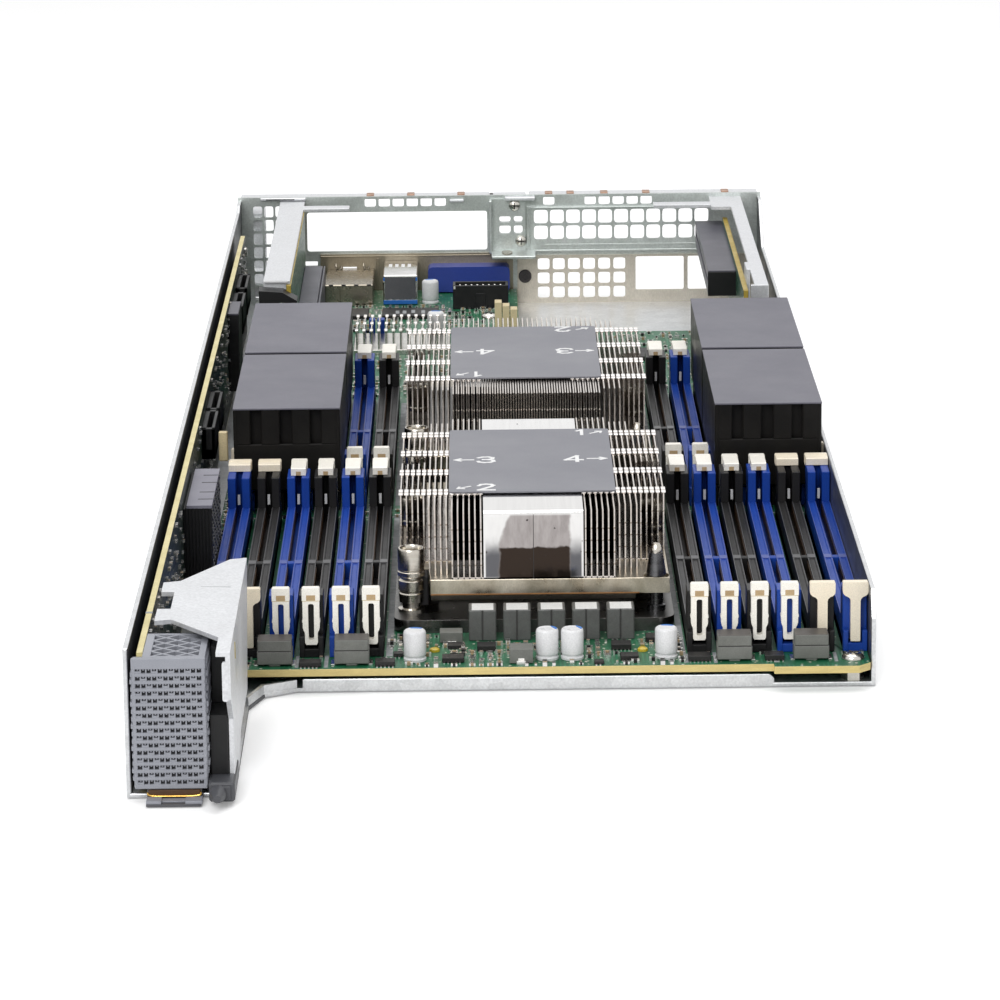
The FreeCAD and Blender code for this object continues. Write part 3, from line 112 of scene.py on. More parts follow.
# %% [markdown]
# Most parts are blocks. A block with cut edges catches light along its rims, which a bare cube never does. Very
# small parts are plain boxes, because their rims can't be seen.

# %% Blocks and boxes
def cut_cube():
    """The 24 corners and 26 faces of a cube with cut edges, as signs of full size and of the cut."""
    signs = np.array(np.meshgrid((-1, 1), (-1, 1), (-1, 1), indexing="ij")).reshape(3, -1).T
    full = np.repeat(signs, 3, axis=0).astype(float)
    inset = full * (1 - np.tile(np.eye(3), (8, 1)))
    faces = [[3 * c + k for k in range(3)] for c in range(8)]
    order = [(-1, -1), (1, -1), (1, 1), (-1, 1)]

    def find(axis, *ways):
        """The corner with given signs along an axis and the two that follow it."""
        return sum((4 >> (axis + k) % 3) * (way > 0) for k, way in enumerate(ways))

    for axis in range(3):
        b, c = (axis + 1) % 3, (axis + 2) % 3
        faces += [[3 * find(axis, side, t, u) + axis for t, u in order] for side in (-1, 1)]
        for t, u in order:
            low, high = 3 * find(axis, -1, t, u), 3 * find(axis, 1, t, u)
            faces.append([low + b, high + b, high + c, low + c])
    points = full - 0.2 * inset
    turned_out = []
    for face in faces:
        p = points[face]
        normal = np.cross(p[1] - p[0], p[2] - p[0])
        turned_out.append(face if normal @ p.mean(0) > 0 else face[::-1])
    return full, inset, turned_out


CUBE = cut_cube()
BOX = np.array([(0, 1, 3, 2), (4, 6, 7, 5), (0, 4, 5, 1), (2, 3, 7, 6), (0, 2, 6, 4), (1, 5, 7, 3)])


def blocks(low, high, cut):
    """Blocks between low and high corners (n x 3): centre plus sign times half size, less the cut."""
    low, high = np.atleast_2d(np.asarray(low, float)), np.atleast_2d(np.asarray(high, float))
    full, inset, faces = CUBE
    half = (high - low) / 2
    trim = np.minimum(cut, 0.45 * half.min(1))[:, None, None]
    points = (low + half)[:, None] + full[None] * half[:, None] - inset[None] * trim
    return points.reshape(-1, 3), [[i + 24 * k for i in face] for k in range(len(low)) for face in faces]


def slabs(table, cut):
    """Blocks from a table of x, y, z, x, y, z."""
    return blocks(*rows(table), cut)


def boxes(low, high):
    """Small boxes: each corner takes its x, y and z from the low or the high end."""
    ends = np.stack([np.atleast_2d(low), np.atleast_2d(high)], 1).astype(float)
    pick = np.array(np.meshgrid((0, 1), (0, 1), (0, 1), indexing="ij")).reshape(3, -1).T
    points = ends[:, pick, np.arange(3)]
    return points.reshape(-1, 3), (BOX[None] + 8 * np.arange(len(ends))[:, None, None]).reshape(-1, 4).tolist()


print("a block has", len(CUBE[2]), "faces, a box", len(BOX))

# %% [markdown]
# Other parts follow a line. A prism carries a flat outline along one axis. A turned shape spins a profile, and a
# tube stands a ring of points across each point of a path. A perforated sheet is a grid of square cells, each
# with a rounded hole.

# %% Prisms, turned shapes, tubes and perforated sheets
AXES = {"x": (1, 2, 0), "y": (2, 0, 1), "z": (0, 1, 2)}


def rim_and_caps(count):
    """Faces between two rings of so many points, and the two rings themselves."""
    ring = np.arange(count)
    after = np.roll(ring, -1)
    walls = np.stack([ring, after, after + count, ring + count], 1).tolist()
    return walls + [ring[::-1].tolist(), (ring + count).tolist()]


def prisms(outline, low, high, axis="z", places=((0, 0, 0),)):
    """A closed outline (k x 2) carried along an axis from low to high, repeated at each place."""
    outline = np.asarray(outline, float)
    a, b, c = AXES[axis]
    nxt = np.roll(outline, -1, axis=0)
    if (outline[:, 0] * nxt[:, 1] - nxt[:, 0] * outline[:, 1]).sum() < 0:
        outline = outline[::-1]
    points = np.zeros((2 * len(outline), 3))
    points[:, (a, b)] = np.tile(outline, (2, 1))
    points[:, c] = np.repeat((low, high), len(outline))
    return copies((points, rim_and_caps(len(outline))), places)


def rounded(x0, z0, x1, z1, radius):
    """The outline of a rectangle with round corners, as four quarter arcs."""
    t = np.linspace(0, np.pi / 2, 5)
    arc = radius * np.stack([np.cos(t), np.sin(t)], 1)
    return np.concatenate([
        arc + (x1 - radius, z1 - radius), arc[::-1] * (-1, 1) + (x0 + radius, z1 - radius),
        arc * (-1, -1) + (x0 + radius, z0 + radius), arc[::-1] * (1, -1) + (x1 - radius, z0 + radius),
    ])


def turned(profile, places, steps=28, axis="z"):
    """A profile of (radius, height) spun about an axis: angle runs one way of the grid, profile the other."""
    profile = np.asarray(profile, float)
    a, b, c = AXES[axis]
    angle = np.linspace(0, 2 * np.pi, steps, endpoint=False)
    points = np.zeros((len(profile), steps, 3))
    points[..., a] = profile[:, :1] * np.cos(angle)
    points[..., b] = profile[:, :1] * np.sin(angle)
    points[..., c] = profile[:, 1:]
    index = np.arange(len(profile) * steps).reshape(-1, steps)
    after = np.roll(index, -1, axis=1)
    walls = np.stack([index[:-1], after[:-1], after[1:], index[1:]], -1).reshape(-1, 4).tolist()
    return copies((points.reshape(-1, 3), walls + [index[0][::-1].tolist(), index[-1].tolist()]), places)


def tube(path, radius, steps=8):
    """A round tube: path point + radius * (cos t * side + sin t * up), side and up lying across the path."""
    path = np.asarray(path, float)
    along = np.gradient(path, axis=0)
    along /= np.linalg.norm(along, axis=1)[:, None]
    side = np.cross(along, np.eye(3)[np.argmin(np.abs(along).max(0))])
    side /= np.linalg.norm(side, axis=1)[:, None]
    up = np.cross(side, along)
    t = np.linspace(0, 2 * np.pi, steps, endpoint=False)[:, None]
    rings = path[:, None] + radius * (np.cos(t) * side[:, None] + np.sin(t) * up[:, None])
    index = np.arange(len(path) * steps).reshape(-1, steps)
    after = np.roll(index, -1, axis=1)
    walls = np.stack([index[:-1], index[1:], after[1:], after[:-1]], -1).reshape(-1, 4).tolist()
    return rings.reshape(-1, 3), walls + [index[0].tolist(), index[-1][::-1].tolist()]


def perforated(corner, pitch, hole, counts, thick, power=6.0):
    """A sheet in x and z: each cell joins a square border to a hole (|u|^p + |v|^p = 1), front, wall, back."""
    t = np.linspace(0, 8, 24, endpoint=False)
    u = np.clip(np.abs((t + 2) % 8 - 4) - 2, -1, 1)
    v = np.clip(np.abs(t % 8 - 4) - 2, -1, 1) * -1
    square = np.stack([u, v], 1)
    round_ = square / ((np.abs(square) ** power).sum(1) ** (1 / power))[:, None]
    rim, bore = square * np.array(pitch) / 2, round_ * np.array(hole) / 2
    cell = np.zeros((4, len(t), 3))
    cell[0, :, 0], cell[0, :, 2] = rim.T
    cell[1, :, 0], cell[1, :, 2] = bore.T
    cell[2], cell[3] = cell[1], cell[0]
    cell[2:, :, 1] = thick
    index = np.arange(4 * len(t)).reshape(4, -1)
    after = np.roll(index, -1, axis=1)
    faces = np.stack([index[:-1], index[1:], after[1:], after[:-1]], -1).reshape(-1, 4)
    if np.cross(square[0], square[1]) < 0:
        faces = faces[:, ::-1]
    x, z = grid(*(corner[2 * k] + (np.arange(counts[k]) + 0.5) * pitch[k] for k in (0, 1)))
    return copies((cell.reshape(-1, 3), faces.tolist()), stack(x, corner[1], z))


print("a plate outline has", len(rounded(0, 0, 4, 2, 0.5)), "points")

# %% [markdown]
# One function turns such surfaces into a finished piece. It takes pairs of a finish and a surface, so that a
# screw head and its dark recess can share one mesh. The piece then rides on one body of the frame, and can
# stand for solid parts, which are hidden.

# %% From surfaces to pieces
FINISH = {}
scene = bpy.context.scene


def soften(item, width, angle):
    """Round edges of a width in millimetres, wherever faces meet at more than an angle in degrees."""
    edge = item.modifiers.new("Bevel", "BEVEL")
    edge.width = width * MM
    edge.segments = 2
    edge.limit_method = "ANGLE"
    edge.angle_limit = math.radians(angle)


def piece(name, parts, body="sled", replaces=(), bevel=0.0, smooth=None):
    """One mesh from (finish, (points in mm, faces)) pairs, moved to the shared frame in metres."""
    mesh = bpy.data.meshes.new(name)
    finishes = list(dict.fromkeys(finish for finish, surface in parts))
    start, points, faces, index = 0, [], [], []
    for finish, (corners, polygons) in parts:
        points.append(corners)
        faces += [[i + start for i in face] for face in polygons]
        index += [finishes.index(finish)] * len(polygons)
        start += len(corners)
    mesh.from_pydata(((np.concatenate(points) + SHIFT) * MM).tolist(), [], faces)
    for finish in finishes:
        mesh.materials.append(FINISH[finish])
    mesh.polygons.foreach_set("material_index", np.array(index, np.int32))
    mesh.update()
    item = bpy.data.objects.new(name, mesh)
    scene.collection.objects.link(item)
    if bevel:
        soften(item, bevel, 40)
    if smooth:
        mesh.polygons.foreach_set("use_smooth", np.ones(len(mesh.polygons), bool))
        mesh.set_sharp_from_angle(angle=math.radians(smooth))
    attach(item, body)
    if replaces:
        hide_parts(*replaces)
    print(f"{name}: {len(mesh.polygons)} faces")


# %% [markdown]
# The camera is set from the picture's own perspective: a long lens, a little over a metre in front of the plug
# end, looking down by about fourteen degrees and turned by less than a degree.

# %% Camera
FOCAL_LENGTH, SENSOR_WIDTH = 166.563, 36.0
PITCH, ROLL, YAW = 14.133, 0.596, 0.254
CAMERA_PLACE = (-0.007907, -1.329339, 0.333614)


def aim(pitch, roll, yaw):
    """The camera's right, up and back directions from three angles in degrees."""
    p, r, y = np.radians((pitch, roll, yaw))
    forward = np.array([np.sin(y) * np.cos(p), np.cos(y) * np.cos(p), -np.sin(p)])
    right = np.array([np.cos(y), -np.sin(y), 0.0])
    down = np.cross(forward, right)
    turned_right = np.cos(r) * right + np.sin(r) * down
    turned_down = -np.sin(r) * right + np.cos(r) * down
    return np.stack([turned_right, -turned_down, -forward], 1)


def stand(item, axes, place):
    """An item at a place in metres, with its right, up and back directions as columns."""
    matrix = np.eye(4)
    matrix[:3, :3] = axes
    matrix[:3, 3] = place
    item.matrix_world = Matrix(matrix.tolist())
    scene.collection.objects.link(item)


camera_data = bpy.data.cameras.new("camera")
camera_data.lens = FOCAL_LENGTH
camera_data.sensor_width = SENSOR_WIDTH
camera_data.sensor_fit = "HORIZONTAL"
camera = bpy.data.objects.new("camera", camera_data)
stand(camera, aim(PITCH, ROLL, YAW), CAMERA_PLACE)
scene.camera = camera
print("camera at", CAMERA_PLACE)

# %% [markdown]
# Finishes are built from small steps: numbers, soft steps between two values, and mixes of colours. A few helpers
# place such a step, and link or set its inputs by name.

# %% Steps of a finish
COLOUR, NUMBER, VECTOR = "NodeSocketColor", "NodeSocketFloat", "NodeSocketVector"


def put(tree, socket, value):
    """One input: another socket is linked, a number or a colour of three values is set."""
    if isinstance(value, bpy.types.NodeSocket):
        tree.links.new(value, socket)
    else:
        socket.default_value = (*value, 1) if socket.type == "RGBA" else value


def give(tree, node, **values):
    """Settings and inputs of a node by name."""
    for key, value in values.items():
        if hasattr(node, key):
            setattr(node, key, value)
        else:
            put(tree, node.inputs[key.replace("_", " ")], value)
    return node


def add(tree, kind, **values):
    """A new shader node with some of its settings and inputs."""
    return give(tree, tree.nodes.new("ShaderNode" + kind), **values)


def calc(tree, operation, *values):
    """A sum, product or other step of sockets or numbers."""
    node = add(tree, "Math", operation=operation)
    for socket, value in zip(node.inputs, values):
        put(tree, socket, value)
    return node.outputs[0]


def times(tree, first, *others):
    """The product of several sockets or numbers."""
    for other in others:
        first = calc(tree, "MULTIPLY", first, other)
    return first


def ramp(tree, value, start, stop):
    """A soft step: 0 before start, 1 after stop; a start above the stop turns it round."""
    node = add(tree, "MapRange", interpolation_type="SMOOTHSTEP", Value=value, From_Min=start, From_Max=stop)
    return node.outputs[0]


def scaled(tree, value, factor):
    """A colour made brighter or darker by a factor."""
    return add(tree, "VectorMath", operation="SCALE", Vector=value, Scale=factor).outputs[0]


def mix_colour(tree, factor, first, second):
    """A colour between two sockets or values, by a factor socket."""
    mixer = add(tree, "Mix", data_type="RGBA", Factor=factor)
    for name, value in (("A", first), ("B", second)):
        put(tree, [s for s in mixer.inputs if s.name == name and s.type == "RGBA"][0], value)
    return [s for s in mixer.outputs if s.type == "RGBA"][0]


def axes_of(tree, value):
    """The x, y and z of a point or a direction."""
    return add(tree, "SeparateXYZ", Vector=value).outputs


def facing(tree, axis):
    """1 where a face looks along an axis to either side, else 0."""
    ways = axes_of(tree, add(tree, "NewGeometry").outputs["True Normal"])
    return calc(tree, "GREATER_THAN", calc(tree, "ABSOLUTE", ways[axis]), 0.7)


def stretched(tree, place, scale, turn=(0.0, 0.0, 0.0)):
    """Coordinates squeezed per axis and turned, which draws a pattern out into lines."""
    return add(tree, "Mapping", Vector=place, Scale=scale, Rotation=turn).outputs[0]


def new_group(name, outs, **ins):
    """A shader group that reads coordinates, colours of three values and numbers; colours and numbers come out."""
    group = bpy.data.node_groups.new(name, "ShaderNodeTree")
    group.interface.new_socket("Vector", in_out="INPUT", socket_type=VECTOR)
    for label, start in ins.items():
        kind = COLOUR if isinstance(start, tuple) else NUMBER
        socket = group.interface.new_socket(label, in_out="INPUT", socket_type=kind)
        socket.default_value = (*start, 1) if kind == COLOUR else start
    for label in outs:
        kind = COLOUR if label == "Colour" else NUMBER
        group.interface.new_socket(label, in_out="OUTPUT", socket_type=kind)
    return group, group.nodes.new("NodeGroupInput").outputs, group.nodes.new("NodeGroupOutput")


def use_group(tree, group, place, **values):
    """The outputs of a placed shader group that reads the given coordinates."""
    return add(tree, "Group", node_tree=group, Vector=place, **values).outputs


print("steps ready")

# %% [markdown]
# The light is that of a plain white studio: a wide soft lamp overhead, a weak one in front, and a bright
# surround. The surround is pure white where the camera or a shiny surface looks at it, and dimmer as a lamp,
# so that colours come out about as they are written.

# %% Lamps and surround
SURROUND_AS_LAMP = 0.45
scene.view_settings.view_transform = "Standard"


def lamp(name, place, target, width, power):
    """A square soft lamp that faces a point."""
    data = bpy.data.lights.new(name, "AREA")
    data.size = width
    data.energy = power
    back = np.array(place, float) - np.array(target, float)
    back /= np.linalg.norm(back)
    side = np.cross((0.0, 1.0, 0.001), back)
    side /= np.linalg.norm(side)
    stand(bpy.data.objects.new(name, data), np.stack([side, np.cross(back, side), back], 1), place)


lamp("overhead_lamp", (0.0, 0.15, 1.5), (0.0, 0.0, 0.0), width=1.5, power=14.0)
lamp("front_lamp", (-0.5, -1.7, 1.1), (0.0, -0.2, 0.0), width=0.9, power=18.0)

world = bpy.data.worlds.new("studio")
scene.world = world
world.use_nodes = True
tree = world.node_tree
tree.nodes.clear()
path = add(tree, "LightPath").outputs
seen = calc(tree, "MAXIMUM", path["Is Camera Ray"], path["Is Glossy Ray"])
clear = calc(tree, "MAXIMUM", seen, path["Is Transmission Ray"])
level = add(tree, "MapRange", Value=clear, To_Min=SURROUND_AS_LAMP, To_Max=1.0).outputs[0]
sky = add(tree, "Background", Color=(1, 1, 1), Strength=level)
add(tree, "OutputWorld", Surface=sky.outputs[0])
print("studio ready")

# %% [markdown]
# Real surfaces are never one flat colour. One shared effect, used by nearly all finishes, mixes two close
# colours by soft blotches, varies the gloss in the same way, and gives a fine grain for the bump. The scales
# are in repeats per metre, because the pieces keep their true size.

# %% Shared effect: blotches and grain
BLOTCH, gin, gout = new_group(
    "blotch_and_grain", ("Colour", "Roughness", "Height"), Colour=(0.5, 0.5, 0.5), Other=(0.4, 0.4, 0.4),
    Blotch=60.0, Grain=3000.0, Dull=0.5, Shiny=0.3,
)
spot = gin["Vector"]
cloud = add(BLOTCH, "TexNoise", Vector=spot, Scale=gin["Blotch"], Detail=6.0, Roughness=0.6).outputs["Fac"]
fine = add(BLOTCH, "TexNoise", Vector=spot, Scale=gin["Grain"], Detail=3.0, Roughness=0.55).outputs["Fac"]
spread = add(BLOTCH, "MapRange", Value=cloud, From_Min=0.3, From_Max=0.7)
speck = add(BLOTCH, "MapRange", Value=fine, From_Min=0.25, From_Max=0.75, To_Min=0.86, To_Max=1.1)
gloss = add(BLOTCH, "MapRange", Value=cloud, From_Min=0.3, From_Max=0.7, To_Min=gin["Shiny"], To_Max=gin["Dull"])
blend = mix_colour(BLOTCH, spread.outputs[0], gin["Colour"], gin["Other"])
give(
    BLOTCH, gout, Colour=scaled(BLOTCH, blend, speck.outputs[0]), Roughness=gloss.outputs[0], Height=fine,
)
print("blotches:", len(BLOTCH.nodes), "steps")

# %% [markdown]
# Zinc grows in crystals on dipped sheet, and they show as pale flakes with slightly different greys. A cell
# pattern gives one random value per cell, and a finer noise laid over it makes the flakes look less regular.

# %% Shared effect: zinc flakes
FLAKES, gin, gout = new_group("zinc_flakes", ("Colour",), Colour=(0.6, 0.6, 0.6), Scale=300.0, Contrast=0.2)
crystal = add(FLAKES, "TexVoronoi", Vector=gin["Vector"], Scale=gin["Scale"]).outputs["Color"]
noise = add(FLAKES, "TexNoise", Vector=gin["Vector"], Scale=900.0, Detail=4.0).outputs["Fac"]
both = times(FLAKES, add(FLAKES, "SeparateColor", Color=crystal).outputs[0], noise)
swing = calc(FLAKES, "MULTIPLY_ADD", both, gin["Contrast"], 0.92)
give(FLAKES, gout, Colour=scaled(FLAKES, gin["Colour"], swing))
print("flakes:", len(FLAKES.nodes), "steps")

# %% [markdown]
# A finish is a named material. Its colours and scales go into the shared effect, and everything that is the
# same all over, such as the sheen of lacquer, is set straight on the shader.

# %% Makers of finishes
def start_finish(name):
    """A new material: its tree, its shader and its coordinates."""
    material = bpy.data.materials.new(name)
    material.use_nodes = True
    tree = material.node_tree
    tree.nodes.clear()
    shader = add(tree, "BsdfPrincipled")
    add(tree, "OutputMaterial", Surface=shader.outputs[0])
    FINISH[name] = material
    return tree, shader, add(tree, "TexCoord").outputs["Object"]


def bump(tree, shader, height, strength, depth=0.0001):
    """A height socket as a bump of the given depth in metres."""
    node = add(tree, "Bump", Height=height, Strength=strength, Distance=depth)
    give(tree, shader, Normal=node.outputs[0])


def finish(name, colour, other, gloss, metal=0.0, blotch=60.0, grain=3000.0, rough=0.15, stretch=None, sheen=0.5):
    """A finish from two close colours, a pair of gloss values (shiny, dull), a metal share, a grain and a sheen."""
    tree, shader, place = start_finish(name)
    if stretch:
        place = stretched(tree, place, stretch)
    soft = use_group(
        tree, BLOTCH, place, Colour=colour, Other=other, Blotch=blotch, Grain=grain, Shiny=gloss[0], Dull=gloss[1]
    )
    give(
        tree, shader, Base_Color=soft["Colour"], Roughness=soft["Roughness"], Metallic=metal, Specular_IOR_Level=sheen
    )
    bump(tree, shader, soft["Height"], rough)


print("makers of finishes ready")

# %% [markdown]
# Plain finishes differ only in their values. Each takes two close colours and the gloss of its shiny and dull
# blotches. Metals have a metal share of one, and the pattern of drawn or turned metal is stretched.

# %% Finishes made from blotches and grain
finish("latch_white", (0.98, 0.95, 0.88), (0.95, 0.91, 0.82), (0.3, 0.45), grain=5000.0)
finish("latch_cream", (0.93, 0.85, 0.70), (0.90, 0.79, 0.61), (0.35, 0.5), grain=5000.0)
finish("latch_brown", (0.56, 0.40, 0.22), (0.42, 0.29, 0.15), (0.4, 0.6))
finish("socket_blue", (0.012, 0.062, 0.36), (0.010, 0.048, 0.30), (0.3, 0.42), grain=4000.0, rough=0.1, sheen=0.22)
# Lighter copies of the socket plastics: painted highlight along the rail rims and on the pads at the key.
finish("rail_rim_highlight_blue", (0.08, 0.115, 0.38), (0.06, 0.09, 0.32), (0.3, 0.42))
finish("rail_rim_highlight_black", (0.105, 0.105, 0.11), (0.08, 0.08, 0.085), (0.3, 0.42))
finish("socket_black", (0.013, 0.013, 0.014), (0.02, 0.019, 0.019), (0.3, 0.45), grain=4000.0, rough=0.1, sheen=0.2)
# The top of the covers is a lighter copy of their dark plastic: painted sheen of light at a low angle.
finish(
    "cover_top", (0.144, 0.142, 0.172), (0.130, 0.128, 0.156), (0.42, 0.5),
    blotch=40.0, grain=4200.0, rough=0.3, sheen=0.3,
)
finish(
    "cover_grey", (0.010, 0.0095, 0.009), (0.014, 0.013, 0.012), (0.3, 0.42),
    blotch=90.0, grain=4200.0, rough=0.2, sheen=0.12,
)
finish("choke_grey", (0.11, 0.115, 0.11), (0.085, 0.085, 0.082), (0.4, 0.6), blotch=300.0)
finish("choke_brown", (0.165, 0.17, 0.155), (0.125, 0.128, 0.116), (0.45, 0.6), blotch=200.0)
finish("choke_top", (0.06, 0.054, 0.048), (0.10, 0.09, 0.08), (0.35, 0.55), blotch=160.0)
finish(
    "chip_black", (0.016, 0.016, 0.016), (0.026, 0.024, 0.023), (0.35, 0.5),
    blotch=300.0, grain=6000.0, sheen=0.25,
)
finish("header_black", (0.011, 0.011, 0.012), (0.017, 0.017, 0.017), (0.35, 0.5), grain=4000.0, sheen=0.25)
finish("slot_lilac", (0.070, 0.068, 0.088), (0.085, 0.083, 0.102), (0.36, 0.46), grain=4000.0, sheen=0.35)
finish("peg_grey", (0.05, 0.052, 0.06), (0.075, 0.077, 0.085), (0.35, 0.5))
finish("connector_grey", (0.325, 0.335, 0.375), (0.27, 0.28, 0.315), (0.4, 0.55), grain=5000.0, rough=0.3)
# Black for the inside of holes, slits and openings: painted shade.
finish("hole_painted_shade", (0.01, 0.01, 0.012), (0.02, 0.02, 0.024), (0.5, 0.7))
finish("power_black", (0.06, 0.062, 0.07), (0.10, 0.10, 0.11), (0.4, 0.55))
finish("rust_brown", (0.40, 0.19, 0.06), (0.26, 0.12, 0.04), (0.4, 0.6), blotch=200.0)
finish("gilt", (0.78, 0.50, 0.13), (0.62, 0.36, 0.08), (0.2, 0.35), metal=1.0)
finish("amber_dark", (0.10, 0.045, 0.012), (0.06, 0.025, 0.008), (0.3, 0.5))
finish("video_blue", (0.026, 0.055, 0.32), (0.02, 0.042, 0.25), (0.35, 0.5))
finish("tongue_blue", (0.02, 0.16, 0.55), (0.015, 0.12, 0.45), (0.3, 0.45))
finish("jumper_cream", (0.72, 0.61, 0.38), (0.62, 0.50, 0.29), (0.4, 0.55))
finish("bolster_dark", (0.10, 0.098, 0.095), (0.16, 0.155, 0.15), (0.22, 0.36), metal=1.0, blotch=90.0)
finish("socket_ivory", (0.55, 0.52, 0.44), (0.48, 0.45, 0.38), (0.4, 0.55))
finish("processor_lid", (0.62, 0.61, 0.60), (0.55, 0.54, 0.52), (0.25, 0.4), metal=1.0)
finish(
    "base_metal", (0.36, 0.31, 0.23), (0.66, 0.61, 0.51), (0.24, 0.42),
    metal=1.0, blotch=130.0, stretch=(1, 0.3, 0.7),
)
# A lighter copy of the fin metal for the tops of tabs and caps: painted highlight from the lamp above.
finish("tab_metal_painted_highlight", (0.93, 0.91, 0.90), (0.86, 0.81, 0.77), (0.24, 0.4), metal=1.0, blotch=120.0)
# Dark seams, slots and a knob, and painted shade in screw recesses and pin holes.
finish("dark_parts_and_recess_shade", (0.02, 0.02, 0.02), (0.035, 0.03, 0.03), (0.5, 0.7))
finish(
    "plate_grey", (0.205, 0.206, 0.232), (0.185, 0.187, 0.213), (0.42, 0.55),
    blotch=30.0, grain=2500.0, rough=0.1,
)
finish("print_white", (0.86, 0.86, 0.86), (0.80, 0.80, 0.80), (0.5, 0.6))
finish("nut_steel", (0.62, 0.59, 0.53), (0.52, 0.48, 0.42), (0.10, 0.24), metal=1.0, stretch=(1, 1, 14))
finish("post_dark", (0.11, 0.11, 0.115), (0.17, 0.17, 0.175), (0.2, 0.34), metal=1.0, stretch=(1, 1, 10))
finish("screw_steel", (0.66, 0.64, 0.60), (0.56, 0.54, 0.50), (0.16, 0.3), metal=1.0)
finish("standoff_brass", (0.62, 0.60, 0.55), (0.52, 0.50, 0.45), (0.2, 0.35), metal=1.0)
finish("can_white", (0.78, 0.78, 0.79), (0.70, 0.70, 0.71), (0.25, 0.4), blotch=150.0)
finish("can_blue", (0.03, 0.20, 0.62), (0.02, 0.15, 0.5), (0.35, 0.5))
finish("sticker_white", (0.80, 0.80, 0.78), (0.70, 0.70, 0.68), (0.45, 0.6), blotch=250.0)
finish("port_metal", (0.40, 0.36, 0.295), (0.31, 0.275, 0.22), (0.18, 0.34), metal=1.0, blotch=140.0)
finish("chrome_bright", (0.68, 0.68, 0.67), (0.58, 0.57, 0.56), (0.06, 0.16), metal=1.0, blotch=120.0)
BRUSHED = {"metal": 1.0, "blotch": 70.0, "stretch": (1, 1, 0.4)}
finish("nickel_plate", (0.60, 0.56, 0.485), (0.52, 0.48, 0.41), (0.32, 0.48), **BRUSHED)
finish("port_brown", (0.38, 0.335, 0.26), (0.32, 0.28, 0.21), (0.32, 0.48), **BRUSHED)
finish("gasket_tan", (0.42, 0.27, 0.20), (0.34, 0.21, 0.15), (0.35, 0.55), metal=1.0, blotch=300.0)
finish("lever_green", (0.02, 0.16, 0.07), (0.016, 0.13, 0.055), (0.35, 0.5))
finish("solder_tin", (0.78, 0.77, 0.75), (0.66, 0.65, 0.62), (0.2, 0.36), metal=1.0)
finish("part_tan", (0.38, 0.28, 0.17), (0.30, 0.21, 0.12), (0.4, 0.55), blotch=600.0)
finish("lens_yellow", (0.62, 0.46, 0.03), (0.48, 0.34, 0.02), (0.15, 0.3))
# Grey ink for print, and painted shade for the pressed line on the bracket.
finish("grey_ink_and_crease_shade", (0.40, 0.41, 0.42), (0.22, 0.235, 0.24), (0.5, 0.65), blotch=420.0, grain=5000.0)
finish("comb_white", (0.60, 0.60, 0.61), (0.52, 0.52, 0.53), (0.4, 0.55))
finish("comb_lilac", (0.21, 0.205, 0.25), (0.18, 0.176, 0.215), (0.4, 0.55), grain=4000.0)
print(len(FINISH), "finishes")

# %% [markdown]
# Deep between the sheets of a heat sink little light arrives, so the sheets look bright along their edges and
# brown-black on their sides; that shade is painted into the colour. The side of a sheet faces along x, which the
# face's own direction tells, and the height tells how deep a point lies. Both together paint the metal darker. On
# the rear stack the painted shade is a paler dull brown, and the lower part there is less metal.

# %% Finish of the heat-sink sheets
tree, shader, place = start_finish("fin_metal")
metal = use_group(
    tree, BLOTCH, place, Colour=(0.72, 0.68, 0.64), Other=(0.58, 0.51, 0.45), Blotch=50.0, Grain=900.0,
    Shiny=0.16, Dull=0.3,
)
spot = axes_of(tree, place)
low = ramp(tree, spot["Z"], 0.0385, 0.0300)
back = ramp(tree, spot["Y"], -0.03, -0.02)
deep = times(tree, facing(tree, "X"), low)
# Painted shade: deep sides of the sheets turn brown-black, paler dull brown on the rear stack.
shade = mix_colour(tree, back, (0.15, 0.115, 0.095), (0.42, 0.36, 0.31))
low_rear_less_metal = times(tree, low, back, 0.92)
give(
    tree, shader, Base_Color=mix_colour(tree, deep, metal["Colour"], shade), Roughness=metal["Roughness"],
    Metallic=calc(tree, "SUBTRACT", 1.0, low_rear_less_metal),
)
bump(tree, shader, metal["Height"], 0.15)
print("sheets of the heat sinks:", len(tree.nodes), "steps")

# %% [markdown]
# The smooth block of the front heat sink is a near mirror. Its front carries a painted reflection of the dark parts
# before it: a grey field in the middle, a dark brown patch below with a slightly ragged edge, and dim sides inside a
# bright rim. The top is drawn in faint streaks, and a few scratches cross it. Each field is a product of soft steps,
# with noise added to its edge.

# %% Shared effect: marks and painted reflection on the bright core
CORE_MIDDLE = 0.00585
MARKS_AND_REFLECTION, gin, gout = new_group("core_marks_and_painted_reflection", ("Patch", "Middle", "Low", "Streak", "Scratch"))
spot = gin["Vector"]
x, y, z = axes_of(MARKS_AND_REFLECTION, spot)
rag = add(MARKS_AND_REFLECTION, "TexNoise", Vector=spot, Scale=260.0, Detail=6.0).outputs["Fac"]
sway = calc(MARKS_AND_REFLECTION, "SUBTRACT", rag, 0.5)
off = calc(MARKS_AND_REFLECTION, "SUBTRACT", x, CORE_MIDDLE)
across = calc(MARKS_AND_REFLECTION, "ADD", off, times(MARKS_AND_REFLECTION, sway, 0.0024))
lean = times(MARKS_AND_REFLECTION, calc(MARKS_AND_REFLECTION, "SUBTRACT", calc(MARKS_AND_REFLECTION, "MAXIMUM", z, 0.028), 0.030), 0.3)
